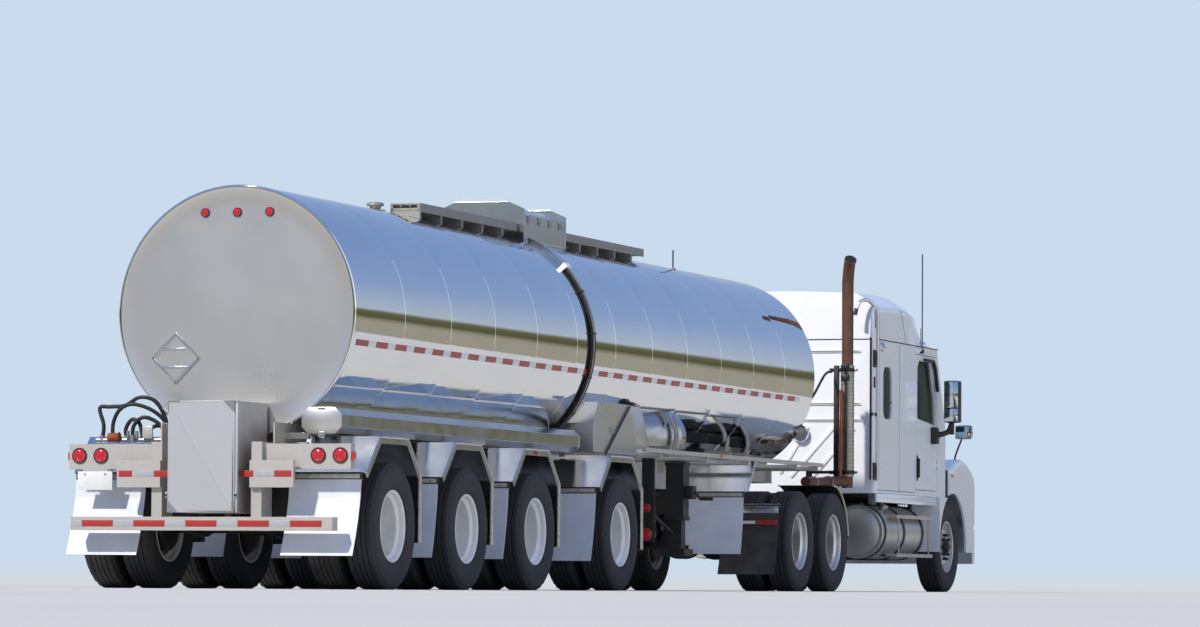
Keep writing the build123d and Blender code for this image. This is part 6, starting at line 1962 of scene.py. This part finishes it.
@dataclass
class Nose:
    """The hood's vents and mirrors, the grille's mesh, the head lamps and the bumper's trim."""

    places: Places

    def build(self) -> None:
        """Makes the nose's pieces."""
        self.hood_trim()
        self.lamps()
        self.bumper()

    def hood_trim(self) -> None:
        """Side vents, amber markers and the small square mirrors on their stalks."""
        x = self.places.x
        shape = Shape((MOULDED_BLACK, AMBER_ACRYLIC, CHROMIUM_PLATE, SILVERED_GLASS, HOSE_RUBBER))
        for i in range(5):
            z = 1.6 + i * 0.034
            shape.box((x(18.9), 0.6195, z), (x(19.22), 0.628, z + 0.016), 0.003)
        shape.box((x(18.865), 1.229, 1.322), (x(18.945), 1.243, 1.362), 0.006, 1)
        stalk = ((19.56, 1.08, 1.5), (19.575, 1.11, 1.62), (19.6, 1.15, 1.74), (19.64, 1.17, 1.82))
        shape.hose([(x(t), y, z) for t, y, z in stalk], 0.011)
        shape.bar((x(19.56), 1.075, 1.48), (x(19.56), 1.082, 1.52), 0.03, 20)
        for a, b, inner, outer, low, high, bevel, finish in (
            (19.636, 19.705, 1.075, 1.285, 1.785, 1.955, 0.034, 2),
            (19.622, 19.64, 1.085, 1.275, 1.795, 1.945, 0.008, 0),
            (19.617, 19.6225, 1.094, 1.266, 1.804, 1.936, 0.002, 3),
            (19.3, 19.95, 0.616, 0.6275, 1.105, 1.113, 0.001, 4)
        ):
            shape.box((x(a), inner, low), (x(b), outer, high), bevel, finish)
        shape.both_sides()
        shape.piece("hood_fittings", "hood", "black_plastic")

    def lamps(self) -> None:
        """A chromed bezel with two lamps behind each clear cover, and the mesh behind the grille's bars."""
        x = self.places.x
        shape = Shape((CHROMIUM_PLATE, CLEAR_LENS, AMBER_ACRYLIC, MOULDED_BLACK))
        face = x(20.075)
        outline = ((0.672, 0.892), (1.088, 0.892), (1.088, 1.158), (0.672, 1.158))
        shape.frame([(face, y, z) for y, z in outline], 0.016, (0.01, 0, 0))
        bowl = [(0.07, 0.014), (0.074, 0.01), (0.074, 0.001), (0.066, 0.001), (0.04, 0.0012), (0.0, 0.0014)]
        for y in (0.79, 0.95):
            shape.turned(bowl, (face, y, 1.045), ALONG, 36)
            shape.turned([(0.0, 0.03), (0.04, 0.027), (0.07, 0.014)], (face, y, 1.045), ALONG, 36, 1)
        shape.box((face - 0.002, 1.03, 0.91), (face + 0.01, 1.078, 1.14), 0.004, 2)
        shape.both_sides()
        for i in range(27):
            y = -0.39 + i * 0.03
            shape.box((x(20.066), y - 0.003, 0.89), (x(20.074), y + 0.003, 1.3), 0.0, 3)
        shape.piece("lamp_and_grille_trim", "hood", "grille_chrome")

    def bumper(self) -> None:
        """The bumper's air slots, fog lamps and blank plate."""
        x = self.places.x
        shape = Shape((MOULDED_BLACK, CHROMIUM_PLATE, CLEAR_LENS, WHITE_TAPE))
        for i in range(3):
            z = 0.42 + i * 0.06
            shape.box((x(20.298), 0.19, z), (x(20.305), 0.56, z + 0.03), 0.003)
        at = (x(20.24), 0.9, 0.5)
        way = Vector((0.95, 0.31, 0)).normalized()
        bowl = [(0.062, -0.02), (0.07, 0.0), (0.07, 0.014), (0.058, 0.016), (0.056, 0.004), (0.0, 0.002)]
        shape.turned(bowl, at, way, 28, 1)
        shape.turned([(0.0, 0.016), (0.04, 0.014), (0.057, 0.01)], at, way, 28, 2)
        shape.both_sides()
        shape.box((x(20.299), -0.155, 0.56), (x(20.304), 0.155, 0.715), 0.002, 3)
        shape.piece("bumper_fittings", "tractor", "black_plastic")


@dataclass
class TractorSide:
    """The exhaust stack, the tanks' straps, the steps, the drive fenders' trim and the deck."""

    places: Places

    def build(self) -> None:
        """Makes the tractor's side pieces."""
        self.stack()
        self.tanks_and_steps()
        self.drive_trim()
        self.deck()

    def stack(self) -> None:
        """The pipe with its curved tip, its ribbed heat shield, its post and the bent pipe to the frame."""
        x, y = self.places.x(15.13), -1.0
        pipe_r, shield_r, rib_r, steps = 0.0635, 0.074, 0.0775, 40
        shape = Shape((HEATED_STEEL, SHIELD_ALUMINIUM, CHASSIS_ENAMEL, COPPER_TUBE, ZINC_PLATE))

        def beside(route: Sequence[Point]) -> list[Point]:
            """Points given as offsets from the pipe's middle, with their heights."""
            return [(x + dx, y + dy, z) for dx, dy, z in route]

        pipe = [(0.0, 0.0, z) for z in (1.13, 1.6, 2.4, 3.2, 3.34)]
        pipe += [
            (-0.003, -0.002, 3.39), (-0.014, -0.008, 3.44), (-0.033, -0.018, 3.495), (-0.058, -0.031, 3.55),
            (-0.084, -0.045, 3.592), (-0.11, -0.06, 3.622)
        ]
        shape.tube(beside(pipe), pipe_r, 36)
        mouth = (x - 0.11, y - 0.06, 3.622)
        way = Vector((-0.026, -0.015, 0.03)).normalized()
        lip = [(pipe_r, -0.02), (0.067, -0.016), (0.067, 0.004), (0.06, 0.004), (0.06, -0.02)]
        shape.turned(lip, mouth, way, 36, closed=True)
        shape.turned([(0.0, 0.001), (0.06, 0.001), (0.06, -0.004), (0.0, -0.004)], mouth, way, 36, 2)
        ribs: list[Point] = [(0.0655, 1.25)]
        for i in range(31):
            low = 1.252 + i * 0.0392
            ribs += [(shield_r, low), (shield_r, low + 0.024), (rib_r, low + 0.028), (rib_r, low + 0.034)]
        ribs += [(shield_r, 2.47), (0.0655, 2.472)]
        shape.turned(ribs, (x, y, 0), UP, steps, 1)
        for z in (2.42, 1.3):
            shape.band((x, y, z), UP, 0.066, 0.083, 0.02, steps, 2)
            shape.blocks(
                x, (-0.02, 0.02, y + 0.06, -0.8, z - 0.02, z + 0.02, 0.004, 2),
                (-0.02, 0.016, y - 0.116, y - 0.078, z - 0.014, z + 0.014, 0.004, 4)
            )
        shape.blocks(
            x, (-0.028, 0.028, -0.905, -0.85, 1.06, 2.47, 0.008, 2),
            (-0.18, -0.12, -0.64, -0.58, 1.045, 1.33, 0.006, 2),
            (-0.175, 0.02, -0.84, -0.63, 1.285, 1.315, 0.004, 2)
        )
        for z in (2.33, 2.45):
            shape.box((x - 0.135, y - 0.045, z - 0.032), (x - 0.06, y + 0.04, z + 0.032), 0.012, 2)
        shape.tube(beside([(-0.098, -0.01, 1.3), (-0.098, -0.01, 2.42)]), 0.014, 12, 2)
        copper = ((-0.1, 0.05, 1.23), (-0.1, 0.045, 1.6), (-0.102, 0.04, 2.0), (-0.1, 0.045, 2.2))
        shape.hose(beside(copper), 0.019, 3)
        bent = (
            (-1.15, 0.15, 1.175), (-0.9, 0.15, 1.175), (-0.56, 0.15, 1.182), (-0.3, 0.105, 1.195),
            (-0.12, 0.03, 1.2), (0.0, 0.0, 1.2)
        )
        shape.hose(beside(bent), 0.054, 0, 24)
        for at in beside(((-0.85, 0.15, 1.177), (-0.36, 0.119, 1.192))):
            shape.band(at, ALONG, 0.053, 0.062, 0.02, 28, 4)
        shape.piece("exhaust_stack_pipe", "tractor", "rusty_steel", replaces=["exhaust_stack"])

    def tanks_and_steps(self) -> None:
        """Straps, filler caps and domed ends on the tanks, and serrated plates on the steps."""
        x = self.places.x
        shape = Shape((CHASSIS_ENAMEL, TANK_ALUMINIUM, ZINC_PLATE, WEATHERED_ALUMINIUM))
        y, z, r = FUEL_TANK_Y, FUEL_TANK_Z, FUEL_TANK_R
        top = z + r + 0.012
        for at in (x(16.03), x(16.85), x(17.67)):
            shape.band((at, y, z), ALONG, r + 0.002, r + 0.009, 0.034, 48, 0)
            shape.bar((at - 0.02, y + 0.02, top), (at + 0.02, y + 0.02, top), 0.012, 10, 2)
        dome = [
            (0.0, 0.03), (0.12, 0.026), (0.22, 0.012), (0.275, -0.004), (r - 0.004, -0.012),
            (r + 0.003, -0.02), (r + 0.003, -0.036), (r, -0.036)
        ]
        for station, way in ((15.9, BACK), (17.8, ALONG)):
            shape.turned(dome, (x(station), y, z), way, 48, 1)
        shape.bar((x(16.4), y + 0.15, z + 0.24), (x(16.4), y + 0.19, z + 0.31), 0.05, 24, 2, bevel=0.006)
        for height in (0.85, 0.42):
            a, b, teeth = x(16.3), x(17.9), 24
            for i in range(teeth):
                at = a + 0.04 + i * (b - a - 0.08) / (teeth - 1)
                shape.box((at - 0.008, 1.135, height - 0.002), (at + 0.008, 1.245, height + 0.004), 0.0, 3)
            shape.box((a, 1.247, height - 0.034), (b, 1.256, height + 0.005), 0.002, 3)
        for station in (16.42, 17.76):
            shape.box((x(station) - 0.012, 1.236, 0.4), (x(station) + 0.012, 1.25, 0.85), 0.003, 3)
        shape.both_sides()
        shape.piece("tank_and_step_trim", "tractor", "tank_aluminium")

    def drive_trim(self) -> None:
        """The pale edge of the quarter fenders, and the tape and bar on the flaps behind them."""
        x = self.places.x
        shape = Shape((CREAM_PLASTIC, BRIGHT_ALUMINIUM, RED_TAPE, WHITE_TAPE, ZINC_PLATE))
        cx, cz, r, step_deg = x(13.59), 0.52, 0.605, 4.6
        arc = []
        for i in range(19):
            a = math.radians(90 - i * step_deg)
            arc.append((cx + r * math.cos(a), 1.268, cz + r * math.sin(a)))
        shape.tube(arc, 0.012, 10)
        flap = x(11.5435)
        shape.box((flap - 0.006, 0.652, 0.8), (flap, 1.248, 0.872), 0.003, 1)
        for y in (0.72, 0.86, 1.0, 1.14):
            shape.bar((flap - 0.014, y, 0.836), (flap - 0.004, y, 0.836), 0.01, 6, 4)
        tape = x(11.519)
        shape.blocks(
            tape, (-0.01, -0.004, 0.655, 1.01, 0.69, 0.722, 0.001, 3),
            (-0.01, -0.004, 1.02, 1.245, 0.682, 0.732, 0.001, 2)
        )
        shape.both_sides()
        shape.piece("drive_fender_trim", "tractor", "black_plastic")

    def deck(self) -> None:
        """The chequered plate, tail lamps and air tanks on the tractor's frame."""
        x = self.places.x
        shape = Shape((WEATHERED_ALUMINIUM, RED_ACRYLIC, HOSE_RUBBER, CHASSIS_ENAMEL))
        for i in range(9):
            for j in range(11):
                px, py = x(14.5) + i * 0.115, -0.53 + j * 0.106
                turn = Matrix.Rotation(math.radians(45 if (i + j) % 2 else -45), 4, "Z")
                shape.box((px - 0.028, py - 0.006, 1.0295), (px + 0.028, py + 0.006, 1.034), 0.0, 0, turn)
        for sign in (-1, 1):
            Lamp(0.05).add(shape, (x(11.349), sign * 0.385, 0.87), BACK, 1, 2)
        for station in (14.3, 14.85):
            shape.bar((x(station), -0.33, 0.64), (x(station), 0.33, 0.64), 0.105, 28, 3, bevel=0.02)
            for y in (-0.2, 0.2):
                shape.box((x(station) - 0.02, y - 0.02, 0.7), (x(station) + 0.02, y + 0.02, 0.79), 0.004, 3)
        for y in (-0.335, 0.335):
            shape.box((x(14.2), y, 0.72), (x(14.95), y * 1.03, 0.8), 0.002, 3)
        shape.piece("deck_fittings", "tractor", "black_steel")


@dataclass
class Interior:
    """The seats' cushions, the steering wheel, the dials and the bunk's mattress."""

    places: Places
    seat_y: float = 0.56

    def build(self) -> None:
        """Makes the interior's piece."""
        x = self.places.x
        shape = Shape((SEAT_CLOTH, GREY_ABS, MOULDED_BLACK))
        for sign in (-1, 1):
            y = sign * self.seat_y
            shape.box((x(17.255), y - 0.235, 1.552), (x(17.76), y + 0.235, 1.64), 0.04)
            turn = Matrix.Rotation(math.radians(-7.5), 4, "Y")
            shape.box((x(17.205), y - 0.22, 1.62), (x(17.285), y + 0.22, 2.28), 0.035, turn=turn)
            shape.box((x(17.1), y - 0.13, 2.3), (x(17.18), y + 0.13, 2.47), 0.03)
            for dy in (-0.265, 0.265):
                shape.box((x(17.33), y + dy - 0.025, 1.73), (x(17.62), y + dy + 0.025, 1.775), 0.014, 2)
        wheel_at = Vector((x(18.02), self.seat_y, 1.83))
        way = Vector((-0.42, 0.0, 0.91)).normalized()
        shape.turned([(0.225 + a, b) for a, b in around(10, 0.016)], wheel_at, way, 48, 2, closed=True)
        shape.turned([(0.0, 0.012), (0.055, 0.008), (0.07, -0.01), (0.0, -0.04)], wheel_at, way, 28, 2)
        level = Vector(ACROSS)
        upright = way.cross(level).normalized()
        for spoke in (upright, -upright, level, -level):
            shape.bar(wheel_at, wheel_at + spoke * 0.222, 0.012, 8, 2)
        shape.bar(wheel_at - way * 0.01, wheel_at - way * 0.22 + Vector((0.06, 0, 0)), 0.03, 16, 1)
        dial = [(0.0, 0.004), (0.034, 0.004), (0.04, 0.012), (0.046, 0.01), (0.046, -0.01)]
        facing = Vector((-0.85, 0, 0.5)).normalized()
        for dy in (-0.16, -0.05, 0.06, 0.17):
            shape.turned(dial, (x(18.262), self.seat_y + dy, 1.69), facing, 24, 2)
        shape.blocks(
            x(0.0), (15.68, 16.49, -1.09, 1.09, 1.596, 1.74, 0.05),
            (15.7, 16.4, 0.52, 1.04, 1.73, 1.84, 0.045)
        )
        shape.piece("cab_furnishings", "tractor", "grey_plastic")


def corners(pair: tuple[Vector, Vector]) -> list[list[float]]:
    """A box as plain lists of numbers."""
    return [list(pair[0]), list(pair[1])]


def main() -> None:
    """Builds the scene in order."""
    logging.basicConfig(level=logging.INFO, format="%(name)s: %(message)s")
    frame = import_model()
    cad_box = corners(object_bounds())
    places = Places(frame)
    Studio().build()
    for part in (
        AirLine, Solids, Wheels, Barrel, RearEnd, TopDeck, Pipes, Underbody, Cab, Nose, TractorSide,
        Interior
    ):
        part(places).build()
    {"cad": cad_box, "visual": corners(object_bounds())}


if __name__ == "__main__":
    main()
